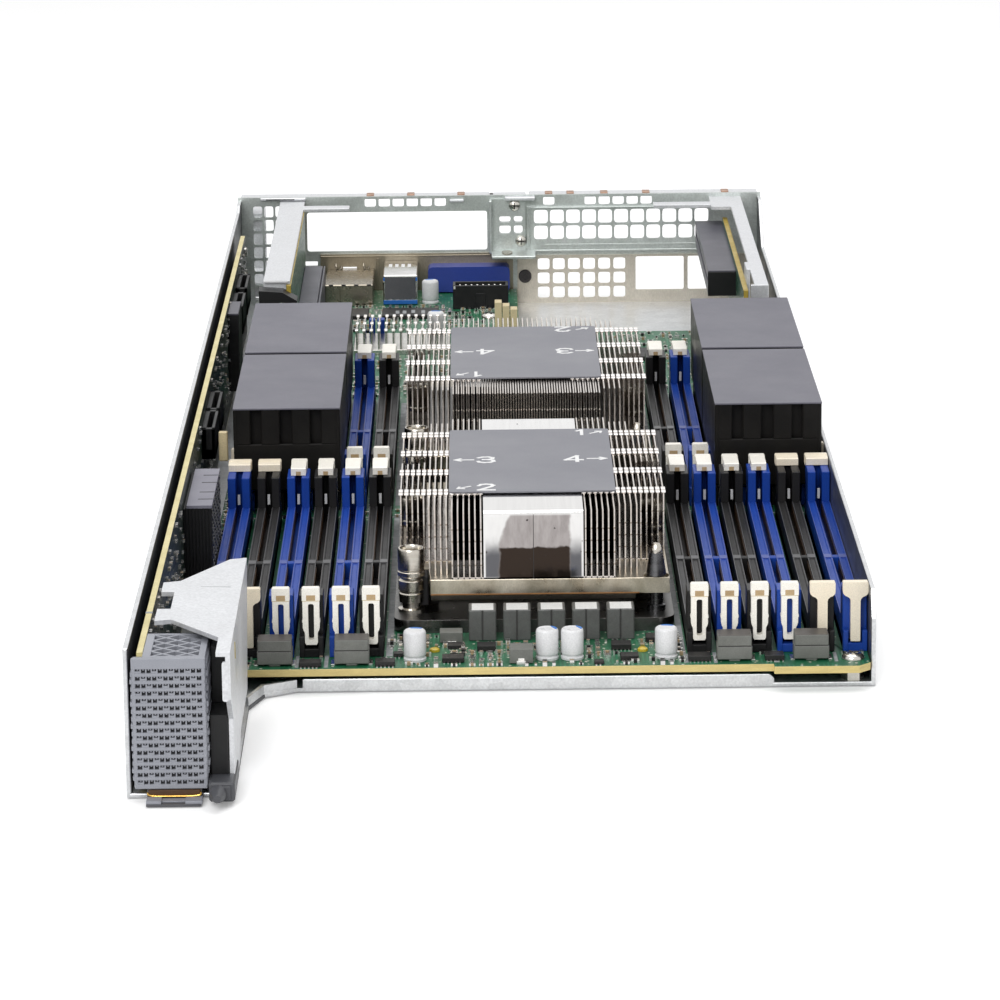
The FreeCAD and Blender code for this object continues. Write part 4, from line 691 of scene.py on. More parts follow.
# Painted reflection of the dark parts in front: a grey middle, a dark brown patch below it and dim sides.
front = times(MARKS_AND_REFLECTION, ramp(MARKS_AND_REFLECTION, y, -0.1640, -0.1648), ramp(MARKS_AND_REFLECTION, z, 0.0368, 0.0360))
left = ramp(MARKS_AND_REFLECTION, calc(MARKS_AND_REFLECTION, "SUBTRACT", lean, across), 0.0088, 0.0078)
middle = times(MARKS_AND_REFLECTION, left, ramp(MARKS_AND_REFLECTION, across, 0.0100, 0.0091), front)
edge = calc(MARKS_AND_REFLECTION, "ADD", z, times(MARKS_AND_REFLECTION, sway, 0.0030))
inside = ramp(MARKS_AND_REFLECTION, calc(MARKS_AND_REFLECTION, "ABSOLUTE", off), 0.0127, 0.0123)
rim = times(MARKS_AND_REFLECTION, inside, ramp(MARKS_AND_REFLECTION, z, 0.0195, 0.0199), front)
drawn = stretched(MARKS_AND_REFLECTION, spot, (1.0, 0.03, 0.3))
scored = stretched(MARKS_AND_REFLECTION, spot, (1.0, 0.12, 1.0), (0.0, 0.0, 0.4))
score = add(MARKS_AND_REFLECTION, "TexNoise", Vector=scored, Scale=700.0, Detail=1.0).outputs["Fac"]
give(
    MARKS_AND_REFLECTION, gout, Middle=middle, Patch=times(MARKS_AND_REFLECTION, middle, ramp(MARKS_AND_REFLECTION, edge, 0.0281, 0.0274)),
    Low=times(MARKS_AND_REFLECTION, rim, ramp(MARKS_AND_REFLECTION, edge, 0.0312, 0.0250)), Scratch=ramp(MARKS_AND_REFLECTION, score, 0.735, 0.76),
    Streak=add(MARKS_AND_REFLECTION, "TexNoise", Vector=drawn, Scale=900.0, Detail=3.0).outputs["Fac"],
)
print("core marks:", len(MARKS_AND_REFLECTION.nodes), "steps")

# %% [markdown]
# The finish of the core lays these fields over each other, from the bright metal to the scratches. Where a streak
# is strong, the metal is a little duller.

# %% Finish of the bright core
tree, shader, place = start_finish("core_metal")
marks = use_group(tree, MARKS_AND_REFLECTION, place)
tone = mix_colour(tree, marks["Streak"], (0.86, 0.85, 0.84), (0.74, 0.73, 0.72))
grey = mix_colour(tree, marks["Streak"], (0.50, 0.465, 0.455), (0.26, 0.235, 0.23))
# The dim sides, grey middle and dark brown patch are painted reflection; the scratches are real marks.
for field, over in (
    ("Low", (0.13, 0.13, 0.14)), ("Middle", grey), ("Patch", (0.042, 0.031, 0.025)), ("Scratch", (0.06, 0.05, 0.05)),
):
    tone = mix_colour(tree, marks[field], tone, over)
give(tree, shader, Base_Color=tone, Roughness=times(tree, marks["Streak"], 0.2), Metallic=1.0)
bump(tree, shader, marks["Streak"], 0.05)
print("core:", len(tree.nodes), "steps")

# %% [markdown]
# The sheet metal is zinc-coated steel. It is neither a mirror nor a paint: pale, satin, with flakes. The metal
# share stays below one, because a thin oxide film scatters part of the light.

# %% Finishes of the sheet metal
def zinc_effect(tree, place, colour, contrast, scale, gloss):
    """Flakes in the colour, soft blotches in the gloss."""
    flakes = use_group(tree, FLAKES, place, Colour=colour, Scale=scale, Contrast=contrast)["Colour"]
    return use_group(
        tree, BLOTCH, place, Colour=flakes, Other=flakes, Blotch=70.0, Grain=1500.0, Shiny=gloss[0], Dull=gloss[1]
    )


def zinc(name, colour, contrast, scale, gloss, metal):
    """A zinc-coated sheet with a metal share and a faint bump."""
    tree, shader, place = start_finish(name)
    soft = zinc_effect(tree, place, colour, contrast, scale, gloss)
    give(tree, shader, Base_Color=soft["Colour"], Roughness=soft["Roughness"], Metallic=metal)
    bump(tree, shader, soft["Height"], 0.12)


GALVANISED = ((0.68, 0.69, 0.70), 0.26, 260.0, (0.28, 0.45))
zinc("galvanised", *GALVANISED, 0.85)
zinc("panel_steel", (0.60, 0.64, 0.62), 0.22, 320.0, (0.3, 0.45), 0.65)
zinc("bracket_white", (0.72, 0.73, 0.75), 0.08, 500.0, (0.34, 0.5), 0.55)
print("sheet metal finishes ready")

# %% [markdown]
# The inner faces of the tray's long walls carry a painted shade, dark in streaks along the sled. They face
# along x and lie just inside the outer faces, so direction and place together find them.

# %% Finish of the tray
INNER_FACE = 0.0915
tree, shader, place = start_finish("tray_zinc")
soft = zinc_effect(tree, place, *GALVANISED)
# Painted shade on the inner faces of the long walls, dark in streaks along the sled.
inner_wall_shade = use_group(
    tree, BLOTCH, stretched(tree, place, (1, 0.02, 1)), Colour=(0.035, 0.036, 0.042), Other=(0.085, 0.09, 0.10),
    Blotch=420.0, Grain=1500.0, Shiny=0.3, Dull=0.5,
)
within = calc(tree, "LESS_THAN", calc(tree, "ABSOLUTE", axes_of(tree, place)["X"]), INNER_FACE)
inner = times(tree, facing(tree, "X"), within)
give(
    tree, shader, Base_Color=mix_colour(tree, inner, soft["Colour"], inner_wall_shade["Colour"]), Roughness=soft["Roughness"],
    Metallic=calc(tree, "SUBTRACT", 0.85, times(tree, inner, 0.7)),
)
bump(tree, shader, soft["Height"], 0.12)
print("tray:", len(tree.nodes), "steps")

# %% [markdown]
# A circuit board is glass cloth under green lacquer. The copper lines below the lacquer show as slightly
# lighter green lines, and plated holes as small pale dots. Square cells decide which way the lines run.

# %% Shared effect: copper lines under lacquer
LINES, gin, gout = new_group(
    "board_lines", ("Colour", "Height"), Lacquer=(0.02, 0.13, 0.06), Copper=(0.05, 0.24, 0.11),
    Hole=(0.55, 0.55, 0.45), Scale=900.0,
)
spot = gin["Vector"]
cells = add(LINES, "TexVoronoi", distance="CHEBYCHEV", Vector=spot, Scale=180.0).outputs["Color"]
pick = add(LINES, "SeparateColor", Color=cells).outputs
ways = axes_of(LINES, spot)
along = add(LINES, "Mix", Factor=calc(LINES, "GREATER_THAN", pick[0], 0.5), A=ways["X"], B=ways["Y"]).outputs[0]
saw = calc(LINES, "FRACT", times(LINES, along, gin["Scale"]))
lines = times(LINES, calc(LINES, "GREATER_THAN", saw, 0.62), calc(LINES, "GREATER_THAN", pick[1], 0.35))
dots = add(LINES, "TexVoronoi", Vector=spot, Scale=420.0, Randomness=0.9).outputs["Distance"]
lacquer = mix_colour(LINES, lines, gin["Lacquer"], gin["Copper"])
holed = mix_colour(LINES, calc(LINES, "LESS_THAN", dots, 0.16), lacquer, gin["Hole"])
give(LINES, gout, Colour=holed, Height=lines)
print("board lines:", len(LINES.nodes), "steps")

# %% [markdown]
# At the cut edge of a board the pale glass cloth is bare. The face's own direction tells the edge from the top, so
# one finish serves the whole board.

# %% Finishes of the boards
def board_finish(name, lacquer, copper, edge, axis):
    """Lacquered faces across one axis, bare glass cloth on the edges, with soft blotches in the gloss."""
    tree, shader, place = start_finish(name)
    printed = use_group(tree, LINES, place, Lacquer=lacquer, Copper=copper)
    cloth = use_group(
        tree, BLOTCH, stretched(tree, place, (1, 1, 6)), Colour=edge, Other=tuple(0.8 * c for c in edge),
        Blotch=160.0, Grain=2500.0, Shiny=0.3, Dull=0.5,
    )
    face = mix_colour(tree, facing(tree, axis), cloth["Colour"], printed["Colour"])
    give(tree, shader, Base_Color=face, Roughness=cloth["Roughness"])
    bump(tree, shader, printed["Height"], 0.2, 0.00005)


board_finish("board_green", (0.009, 0.098, 0.042), (0.020, 0.158, 0.074), (0.70, 0.56, 0.22), "Z")
board_finish("adapter_green", (0.003, 0.011, 0.007), (0.006, 0.020, 0.012), (0.76, 0.66, 0.32), "X")
board_finish("riser_green", (0.012, 0.06, 0.035), (0.025, 0.10, 0.05), (0.46, 0.33, 0.05), "X")
print("board finishes ready")

# %% [markdown]
# Inside each memory slot two rows of sprung contacts face each other. They are too fine to model one by one
# here, so a thin strip along the slot carries them as stripes of gilt and shadow, at their true spacing.

# %% Finish of the contact strips
CONTACTS_PER_METRE = 1176.0
tree, shader, place = start_finish("contact_stripes")
count = times(tree, axes_of(tree, place)["Y"], CONTACTS_PER_METRE)
stripe = calc(tree, "GREATER_THAN", calc(tree, "FRACT", count), 0.5)
striped = mix_colour(tree, stripe, (0.012, 0.01, 0.01), (0.20, 0.10, 0.035))
give(tree, shader, Base_Color=striped, Metallic=stripe, Roughness=0.35)
bump(tree, shader, stripe, 0.4, 0.0002)
print("contact strips:", len(tree.nodes), "steps")

# %% [markdown]
# A memory socket is two long rails with a slot between them, and a fork-shaped tower at each end. The rails
# have thin raised rims, which show as pale lines in the light; these lines, and pads at the key, are painted
# highlight in a lighter copy of the socket colour. The rail is a profile carried along y, and the other parts are
# blocks with cut edges.

# %% Memory sockets
RAIL = np.array([
    (0.9, 0), (3.1, 0), (3.1, 7.3), (2.95, 7.5), (2.68, 7.5), (2.55, 7.25), (1.45, 7.25), (1.32, 7.5), (1.05, 7.5),
    (0.9, 7.3),
])


def socket_bank(name, chosen, node, colour, rim):
    """All sockets of one colour: rails as profiles in x and z, then floors, towers, keys and contact strips."""
    tables = {
        colour: (0.18, [
            (-3.1, 2.7, 0, 3.1, 138.3, 2.9), (-1.2, 2.7, 0, 1.2, 3.7, 15.4), (-1.2, 137.3, 0, 1.2, 138.3, 15.4),
            (-1.0, 66.0, 0, 1.0, 68.5, 7.5), (-1.9, 0.1, 0, 1.9, 2.8, 2.2), (-1.9, 138.2, 0, 1.9, 140.9, 2.2),
            *mirrored([
                (0.9, 2.7, 0, 3.1, 9.7, 15.8), (0.9, 127.3, 0, 3.1, 138.3, 16.0), (1.75, 0.0, 0, 3.1, 2.9, 5.5),
                (1.75, 138.1, 0, 3.1, 141.0, 5.5),
            ]),
        ]),
        # Painted highlight: pale strips on the rail rims and pads at the key.
        rim: (0.03, mirrored([
            (0.95, 65.6, 7.2, 3.05, 68.9, 7.62), (2.95, 9.9, 7.32, 3.11, 127.2, 7.53),
            (0.89, 9.9, 7.32, 1.05, 127.2, 7.53),
        ])),
        "contact_stripes": (0.02, mirrored([(0.72, 9.0, 2.8, 0.92, 65.9, 6.6), (0.72, 68.6, 2.8, 0.92, 128.0, 6.6)])),
        "comb_white": (0.02, [(-0.3, 3.75, 8.6, -0.1, 9.6, 8.75), (-0.35, 127.9, 8.2, 0.35, 128.6, 11.0)]),
    }
    x, start = np.tile(COLUMNS[chosen], 2), np.repeat(list(BANKS.values()), chosen.sum())
    spots = stack(x, start, BOARD_TOP)
    rails = [RAIL[:, ::-1], RAIL[:, ::-1] * (1, -1)]
    parts = [(colour, prisms(rail, 9.6, SOCKET_LENGTH - 13.6, "y", spots)) for rail in rails]
    parts += [(shade, copies(slabs(table, cut), spots)) for shade, (cut, table) in tables.items()]
    piece(name, parts, replaces=[node])


socket_bank("memory_sockets_in_blue", BLUE, "memory_sockets_blue", "socket_blue", "rail_rim_highlight_blue")
socket_bank("memory_sockets_in_black", ~BLUE, "memory_sockets_black", "socket_black", "rail_rim_highlight_black")

# %% [markdown]
# The latches at the socket ends swing outwards to free a module. Inner columns have white latches with a long
# window, the outer two columns plain cream ones in the form of a T. Half of the outline is drawn and mirrored.
# Each row end rides on its own body, so it turns with its hinge.

# %% Latches
WINDOWED = np.array([
    (0, 3.4), (1.3, 3.4), (1.62, 3.9), (1.65, 6.6), (1.95, 7.2), (2.15, 7.9), (2.15, 9.2), (2.3, 9.4), (2.3, 9.8),
    (2.15, 10.0), (2.15, 14.9), (2.28, 15.1), (2.28, 18.0), (2.0, 18.3), (0, 18.3), (0, 14.2), (0.5, 14.15),
    (0.75, 13.8), (0.72, 5.0), (0.5, 4.7), (0, 4.6),
])
PLAIN = np.array([
    (0, 2.7), (1.15, 2.7), (1.25, 3.0), (1.25, 13.3), (1.4, 13.9), (1.9, 14.4), (2.6, 14.7), (3.1, 15.2),
    (3.25, 15.6), (3.25, 18.0), (3.0, 18.3), (0, 18.3),
])
FAR_FACE, LATCH_DEPTH = -9.0, 2.4
NEAR_HEAD = np.array([(0.3, 16.1), (0.3, 18.24), (2.7, 18.2), (3.0, 17.6), (3.0, 16.1)])
FAR_HEADS = {
    False: np.array([(FAR_FACE, 16.1), (FAR_FACE, 18.0), (-8.7, 18.2), (2.2, 18.26), (2.2, 16.1)]),
    True: np.array([(-3.6, 16.1), (-3.6, 17.9), (-3.3, 18.15), (2.2, 18.26), (2.2, 16.1)]),
}


def latch_parts(columns, start, end):
    """Latches at one end of a row: mirrored outlines in x and z carried through the thickness, plus heads."""
    chosen = np.array(columns)
    near = end == "near"
    outer = start if near else start + SOCKET_LENGTH - LATCH_DEPTH
    parts = []
    for outline, kind, colour, half in ((WINDOWED, False, "latch_white", 2.1), (PLAIN, True, "latch_cream", 3.1)):
        x = COLUMNS[chosen[T_LATCH[chosen] == kind]]
        if not len(x):
            continue
        spots = stack(x, outer, BOARD_TOP)
        for side in (1, -1):
            parts.append((colour, prisms((outline * (side, 1))[:, ::-1], 0.0, LATCH_DEPTH, "y", spots)))
        head = NEAR_HEAD if near else FAR_HEADS[kind]
        parts.append((colour, prisms(head, -half, half, "x", spots)))
        if kind:
            continue
        face = -0.05 if near else FAR_FACE - 0.05
        z = 15.1 if near else 16.12
        wide, tall = (1.15, 1.4) if near else (0.68, 1.1)
        parts.append(("latch_brown", blocks(spots + (-wide, face, z), spots + (wide, face + 0.12, z + tall), 0.02)))
        if near:
            parts.append(("jumper_cream", blocks(spots + (-2.2, -0.03, 14.9), spots + (2.2, 0.05, 15.06), 0.01)))
        else:
            ridge = stack(np.linspace(-1.8, 1.6, 5), FAR_FACE - 0.06, 17.3)
            parts.append((colour, copies(blocks(ridge, ridge + (0.2, 0.14, 0.6), 0.02), spots)))
    return parts


ROWS = {
    "front_left": ("front", (0, 1, 2, 3, 4, 5)),
    "front_right": ("front", (6, 7, 8, 9, 10, 11)),
    "rear_left": ("rear", (4, 5)),
    "rear_right": ("rear", (6, 7)),
}
for label, (bank, columns) in ROWS.items():
    for end in ("near", "far"):
        node = f"latches_{label}_{end}"
        piece(
            node + "_moulded", latch_parts(columns, BANKS[bank], end), body=node + "_row",
            replaces=[node], bevel=0.15,
        )
hidden = (0, 1, 2, 3, 8, 9, 10, 11)
parts = latch_parts(hidden, BANKS["rear"], "near") + latch_parts(hidden, BANKS["rear"], "far")
piece("latches_under_covers", parts, replaces=["latches_covered"], bevel=0.15)

# %% [markdown]
# A heat sink is a stack of thin bright sheets. Each sheet has small notches along its front and rear edges,
# where it hooks into its neighbour, and short tabs folded over at the top, which close up into bright rows; their
# brightness is a painted highlight, a lighter copy of the sheet metal.
# A sheet is one side outline carried through its small thickness, so the whole stack is one array.

# %% Heat-sink fins
FIN_LOW, FIN_TOP = 19.2, 37.5
FIN_PITCH, HALF_SINK = 1.5, 52.9
LEVELS = np.array([23.0, 26.2, 29.4, 32.6])
STEP = 13.4 + FIN_PITCH * np.arange(15)
WING_X = np.concatenate([CENTRE_X + STEP, CENTRE_X - STEP - 0.45])
WING_REACH = np.repeat((HALF_SINK, 47.5, 35.5), (6, 4, 5))


def fin_outlines(first, last):
    """Side outlines (n x k x 2) in y and z: straight top and bottom, notched ends, from the ends of each fin."""
    depth, tall = 1.1, 0.5
    z = np.stack([LEVELS - tall / 2] * 2 + [LEVELS + tall / 2] * 2, 1).ravel()
    inset = np.tile([0, depth, depth, 0], len(LEVELS))
    up_z = np.concatenate([[FIN_LOW], z, [FIN_TOP]])
    up_in = np.concatenate([[0], inset, [0]])
    rear, front = stack(last[:, None] - up_in, up_z), stack(first[:, None] + up_in, up_z)
    return np.concatenate([rear, front[:, ::-1]], 1)


def fin_sheets(x, first, last, thick=0.36):
    """Each outline as a thin sheet: two caps and a rim, all sheets in one array."""
    flat = fin_outlines(first, last)
    n, k = flat.shape[:2]
    points = np.zeros((n, 2, k, 3))
    points[..., 1:] = flat[:, None]
    points[:, 0, :, 0] = x[:, None]
    points[:, 1, :, 0] = x[:, None] + thick
    return points.reshape(-1, 3), [[i + 2 * k * s for i in face] for s in range(n) for face in rim_and_caps(k)]


HOLE_X, HOLE_Y, HOLE_RADIUS, LEAST_CUT = 32.0, 4.2, 4.4, 0.4


def fin_table(middle, centre_fins):
    """Left side, first and last y of every sheet; the sheets beside a driver hole are cut in two."""
    half = np.tile(WING_REACH, 2)
    hole_x = CENTRE_X + np.repeat((HOLE_X, -HOLE_X), len(WING_REACH))
    hole_y = middle + np.repeat((-HOLE_Y, HOLE_Y), len(WING_REACH))
    chord = np.sqrt(np.maximum(HOLE_RADIUS ** 2 - (WING_X + 0.2 - hole_x) ** 2, 0))
    cut = chord > LEAST_CUT
    tables = [
        stack(WING_X, middle - half, middle + half)[~cut], stack(WING_X, middle - half, hole_y - chord)[cut],
        stack(WING_X, hole_y + chord, middle + half)[cut],
    ]
    if centre_fins:
        tables.append(stack(CENTRE_X + FIN_PITCH * np.arange(-8, 9) - 0.2, middle - HALF_SINK, middle + HALF_SINK))
        tables.append(stack(CENTRE_X + FIN_PITCH * np.arange(-14, 14) + 0.55, middle - 52.3, middle + 30.0))
    return np.concatenate(tables)


def tab_rows(middle):
    """Folded tabs along the top of the wings: four double rows, one pair of small plates per sheet."""
    row = middle - 35.5 + np.arange(4) * (71.0 - 5.5) / 3
    x, y = grid(WING_X, (row[:, None] + np.array((0.0, 3.2))).ravel())
    low = stack(x - 0.42, y, FIN_TOP - 0.05)
    return blocks(low, low + (1.16, 2.1, 0.5), 0.12)


parts = []
for middle, centre_fins in zip(SINKS, (False, True)):
    parts.append(("fin_metal", fin_sheets(*fin_table(middle, centre_fins).T)))
    parts.append(("tab_metal_painted_highlight", tab_rows(middle)))
    parts.append(("fin_metal", slabs([
        (CENTRE_X - 34.8, middle - 35.5, FIN_LOW, CENTRE_X + 34.8, middle + 35.5, FIN_LOW + 0.5),
        (CENTRE_X - 21.4, middle - HALF_SINK, FIN_LOW, CENTRE_X + 21.4, middle + HALF_SINK, FIN_LOW + 0.5),
    ], 0.05)))
piece("heatsink_sheets", parts, replaces=["heatsink_fins"])

# %% [markdown]
# The front heat sink has a smooth bright block in the middle, folded from one sheet, so its upper edges are
# round and its front shows a seam. The seam is a hair-thin dark strip.

# %% Heat-sink core
turn = np.linspace(0, np.pi / 2, 6)
core_front, core_rear, edge = 38.3, 144.1, 0.9
outline = np.concatenate([
    [(core_front, FIN_LOW), (core_rear, FIN_LOW)],
    np.stack([core_rear - edge + edge * np.cos(turn), FIN_TOP - edge + edge * np.sin(turn)], 1),
    np.stack([core_front + edge - edge * np.sin(turn), FIN_TOP - edge + edge * np.cos(turn)], 1),
])
core = prisms(outline, CENTRE_X - 13.0, CENTRE_X + 13.0, "x")
seam = blocks(
    (CENTRE_X - 0.08, core_front - 0.015, FIN_LOW), (CENTRE_X + 0.08, core_front + 0.1, FIN_TOP - 1.0), 0.005,
)
piece(
    "heatsink_core_folded", [("core_metal", core), ("dark_parts_and_recess_shade", seam)],
    replaces=["heatsink_cores"], smooth=30,
)

# %% [markdown]
# Each heat sink is held by nuts at two corners and two sides. The nut is a bright cup with a ring below it, and a
# stepped sleeve under that. At the other two corners a dark tapered post with a bright tip guides the heat
# sink on. All are profiles spun about an upright axis.

# %% Nuts and guide posts
CORNER_NUTS = np.array([(65.86, 43.2), (129.86, 139.2), (129.86, 276.5), (65.86, 180.5)])
SIDE_NUTS = np.array([(65.86, 95.4), (129.86, 87.0), (129.86, 224.3), (65.86, 232.7)])
POSTS = np.array([(129.86, 40.7), (65.86, 141.7), (65.86, 279.0), (129.86, 178.0)])
CUP = np.array([
    (3.3, 0.0), (3.6, 0.25), (3.6, 1.3), (3.35, 1.5), (3.35, 1.8), (3.5, 2.0), (3.5, 7.1), (3.3, 7.5), (2.95, 7.5),
    (2.75, 7.1), (2.7, 5.2), (0.05, 5.1),
])
FOOT = [
    (3.5, 10.0), (3.5, 10.5), (2.4, 10.7), (2.4, 12.0), (3.2, 12.3), (3.3, 14.6), (3.05, 14.9), (3.05, 15.3),
    (3.4, 15.6), (3.4, 18.1), (2.9, 18.6), (2.9, 19.3), (0.05, 19.4),
]
inward = np.array([(1, 1), (-1, -1), (-1, -1), (1, 1)])
clip = CORNER_NUTS + inward * (3.4, 3.2)
piece("nuts_turned", [
    ("nut_steel", turned(CUP + (0, 19.2), ground(CORNER_NUTS))),
    ("nut_steel", turned(CUP + (0, 19.8), ground(SIDE_NUTS))),
    ("nut_steel", turned(FOOT, ground(CORNER_NUTS))),
    ("header_black", blocks(ground(clip - (1.1, 3.6), 11.0), ground(clip + (1.1, 3.6), 18.9), 0.3)),
], replaces=["heatsink_nuts"], smooth=35)
CONE = [(2.4, 10.0), (2.4, 11.4), (1.8, 11.6), (1.8, 18.6), (2.6, 19.4), (2.55, 20.2), (1.75, 25.4), (0.05, 25.45)]
BRIDGE = np.array([-2.25, 2.25, 2.25, -2.25])
TIP = [(1.5, 25.3), (1.5, 26.5), (1.3, 26.8), (1.25, 27.3), (0.8, 27.85), (0.05, 28.0)]
piece("guide_posts_turned", [
    ("post_dark", turned(CONE, ground(POSTS))), ("nut_steel", turned(TIP, ground(POSTS))),
    ("base_metal", blocks(
        ground(POSTS + stack(-3.4, BRIDGE - 0.16), 15.0), ground(POSTS + stack(3.4, BRIDGE + 0.16), FIN_LOW), 0.05,
    )),
], replaces=["guide_posts"], smooth=35)

# %% [markdown]
# Flux and heat have left a thin rust-brown line along the lower edge of the base.

# %% Brown line on the bases
line = np.array([(71.0, 38.24, 15.0, 125.4, 38.36, 15.35), (62.4, 175.54, 15.0, 125.0, 175.66, 15.35)])
piece("base_line", [("rust_brown", slabs(line, 0.02))])

# %% [markdown]
# A grey plate on each heat sink gives the order of the nuts by digits and arrows. A mark is a line of points, and
# each stretch of it becomes a flat bar, longer by half its width at both ends, so that the corners close.

# %% Plates with digits and arrows
DIGITS = {
    "1": [[(0.3, 1.2), (0.62, 1.5), (0.62, 0.0)]],
    "2": [[(0.05, 1.15), (0.2, 1.42), (0.5, 1.5), (0.8, 1.42), (0.95, 1.15), (0.82, 0.85), (0.05, 0.0), (0.98, 0.0)]],
    "3": [[(0.05, 1.3), (0.3, 1.48), (0.65, 1.5), (0.92, 1.3), (0.9, 1.0), (0.6, 0.8), (0.35, 0.8)],
          [(0.6, 0.8), (0.95, 0.6), (0.98, 0.3), (0.75, 0.05), (0.4, 0.0), (0.1, 0.12), (0.02, 0.3)]],
    "4": [[(0.75, 0.0), (0.75, 1.5), (0.02, 0.45), (1.05, 0.45)]],
    "arrow": [[(0.0, 0.0), (1.5, 0.0)], [(1.05, 0.4), (1.5, 0.0), (1.05, -0.4)]],
}


def mark(kind, x, y, size, angle=0.0):
    """Bars of one mark (n x 4 x 2): its lines scaled, turned by an angle in degrees and moved."""
    c, s = math.cos(math.radians(angle)), math.sin(math.radians(angle))
    lines = [np.array(line) * size @ np.array([(c, s), (-s, c)]) + (x, y) for line in DIGITS[kind]]
    first = np.concatenate([line[:-1] for line in lines])
    last = np.concatenate([line[1:] for line in lines])
    along = (last - first) / np.linalg.norm(last - first, axis=1)[:, None]
    across = np.stack([-along[:, 1], along[:, 0]], 1)
    half = 0.12 * size
    first, last = first - along * half, last + along * half
    return np.stack([first - across * half, last - across * half, last + across * half, first + across * half], 1)


def bars(outlines, low, high):
    """Outlines of four corners (n x 4 x 2) as flat bars; each is a hair taller, so that none share a face."""
    count = len(outlines)
    points = np.zeros((count, 2, 4, 3))
    points[..., :2] = outlines[:, None]
    points[:, 0, :, 2] = low
    points[:, 1, :, 2] = high + 0.004 * np.arange(count)[:, None]
    faces = np.concatenate(rim_and_caps(4)).reshape(6, 4)
    return points.reshape(-1, 3), (faces[None] + 8 * np.arange(count)[:, None, None]).reshape(-1, 4).tolist()


MARKS = np.concatenate([
    mark("3", -14.2, -3.2, 4.3), mark("arrow", -15.6, 0.0, 3.2, 180.0),
    mark("4", 9.4, -3.2, 4.3), mark("arrow", 15.6, 0.0, 3.2, 0.0),
    mark("1", 12.2, 28.0, 3.8), mark("arrow", 17.0, 29.4, 2.6, 40.0),
    mark("2", -14.2, -34.0, 4.2), mark("arrow", -16.4, -30.0, 2.6, 215.0),
])
PLATE = rounded(-22.0, -35.5, 22.0, 35.5, 1.2)
PLATE_LOW, PLATE_TOP, PRINT_RISE = 38.0, 38.4, 0.02
parts = []
for middle, way in zip(SINKS, (1, -1)):
    parts.append(("plate_grey", prisms(PLATE + (CENTRE_X, middle), PLATE_LOW, PLATE_TOP)))
    marks = bars(MARKS * way + (CENTRE_X, middle), PLATE_TOP - PRINT_RISE, PLATE_TOP + PRINT_RISE)
    parts.append(("print_white", marks))
piece("order_plates", parts, replaces=["heatsink_plates"])

# %% [markdown]
# The board is held by pan-head screws. The head is a low dome, spun from a profile, and the cross recess is cut as
# two dark bars of painted shade that end inside the dome.

# %% Screws of the board
SCREWS = np.array([(14.2, 4.2), (178.42, 4.2), (65.86, 159.85), (129.86, 159.85), (178.42, 398.8), (88.0, 430.0)])
DOME = [(1.5, 4.5), (1.5, 6.45), (2.9, 6.5), (2.9, 6.9), (2.72, 7.4), (2.2, 7.85), (1.4, 8.12), (0.05, 8.2)]
slits = np.array([
    [(-1.6, -0.26), (1.6, -0.26), (1.6, 0.26), (-1.6, 0.26)],
    [(-0.26, -1.6), (0.26, -1.6), (0.26, 1.6), (-0.26, 1.6)],
])
turn = 0.5
tilt = np.array([(math.cos(turn), math.sin(turn)), (-math.sin(turn), math.cos(turn))])
piece("board_screws_pan_head", [
    ("screw_steel", turned(DOME, ground(SCREWS))),
    # Painted shade: the cross recess as two dark bars.
    ("dark_parts_and_recess_shade", copies(bars(slits @ tilt, 7.6, 8.22), ground(SCREWS))),
], replaces=["board_screws"], smooth=35)

# %% [markdown]
# Chokes are pressed from two halves, so a fine seam runs down the middle of each. The five in front of the heat
# sink carry a bare white sticker. The squat ones at the board's edge have a step line, a centre foot and two tinned
# ends.

# %% Chokes
halves = np.array([(-3.55, 24.2, 6.5, -0.05, 31.7, 14.7), (0.05, 24.2, 6.5, 3.55, 31.7, 14.7)])
shift = stack(CENTRE_X + 4.35 + 8.92 * np.arange(-2, 3), 0.0, 0.0)
sticker = (-2.75, 24.55, 14.68, 2.85, 30.9, 14.76)
piece("regulator_chokes_pressed", [
    ("choke_grey", copies(slabs(halves, 0.28), shift)),
    ("dark_parts_and_recess_shade", copies(slabs((-0.2, 24.4, 6.6, 0.2, 31.5, 14.55), 0.02), shift)),
    ("sticker_white", copies(slabs(sticker, 0.03), shift)),
], replaces=["regulator_chokes"])
shift = stack(np.array([31.8, 51.34, 148.58, 168.12]) - 0.3, 0.0, 0.0)
squat = np.array([
    (-4.45, 2.4, 7.0, 4.45, 8.8, 10.4), (-4.3, 2.5, 10.5, 4.3, 8.75, 13.3), (-1.4, 2.6, 6.5, 1.4, 8.6, 7.1),
])
ends = np.array([(-5.3, 3.4, 6.5, -4.2, 7.8, 6.75), (4.2, 3.4, 6.5, 5.3, 7.8, 6.75)])
piece("memory_chokes_pressed", [
    ("choke_brown", copies(slabs(squat, 0.2), shift)), ("solder_tin", copies(slabs(ends, 0.05), shift)),
    ("dark_parts_and_recess_shade", copies(slabs((-4.2, 2.55, 10.3, 4.2, 8.7, 10.6), 0.02), shift)),
    ("choke_top", copies(slabs((-4.15, 2.65, 13.2, 4.15, 8.6, 13.36), 0.05), shift)),
], replaces=["memory_chokes"])

# %% [markdown]
# The round capacitors are white cans: a bead pressed in near the foot, a rolled rim at the top, and a blue segment
# that marks one pole. The can is one spun profile and the segment a flat slice of a disc.

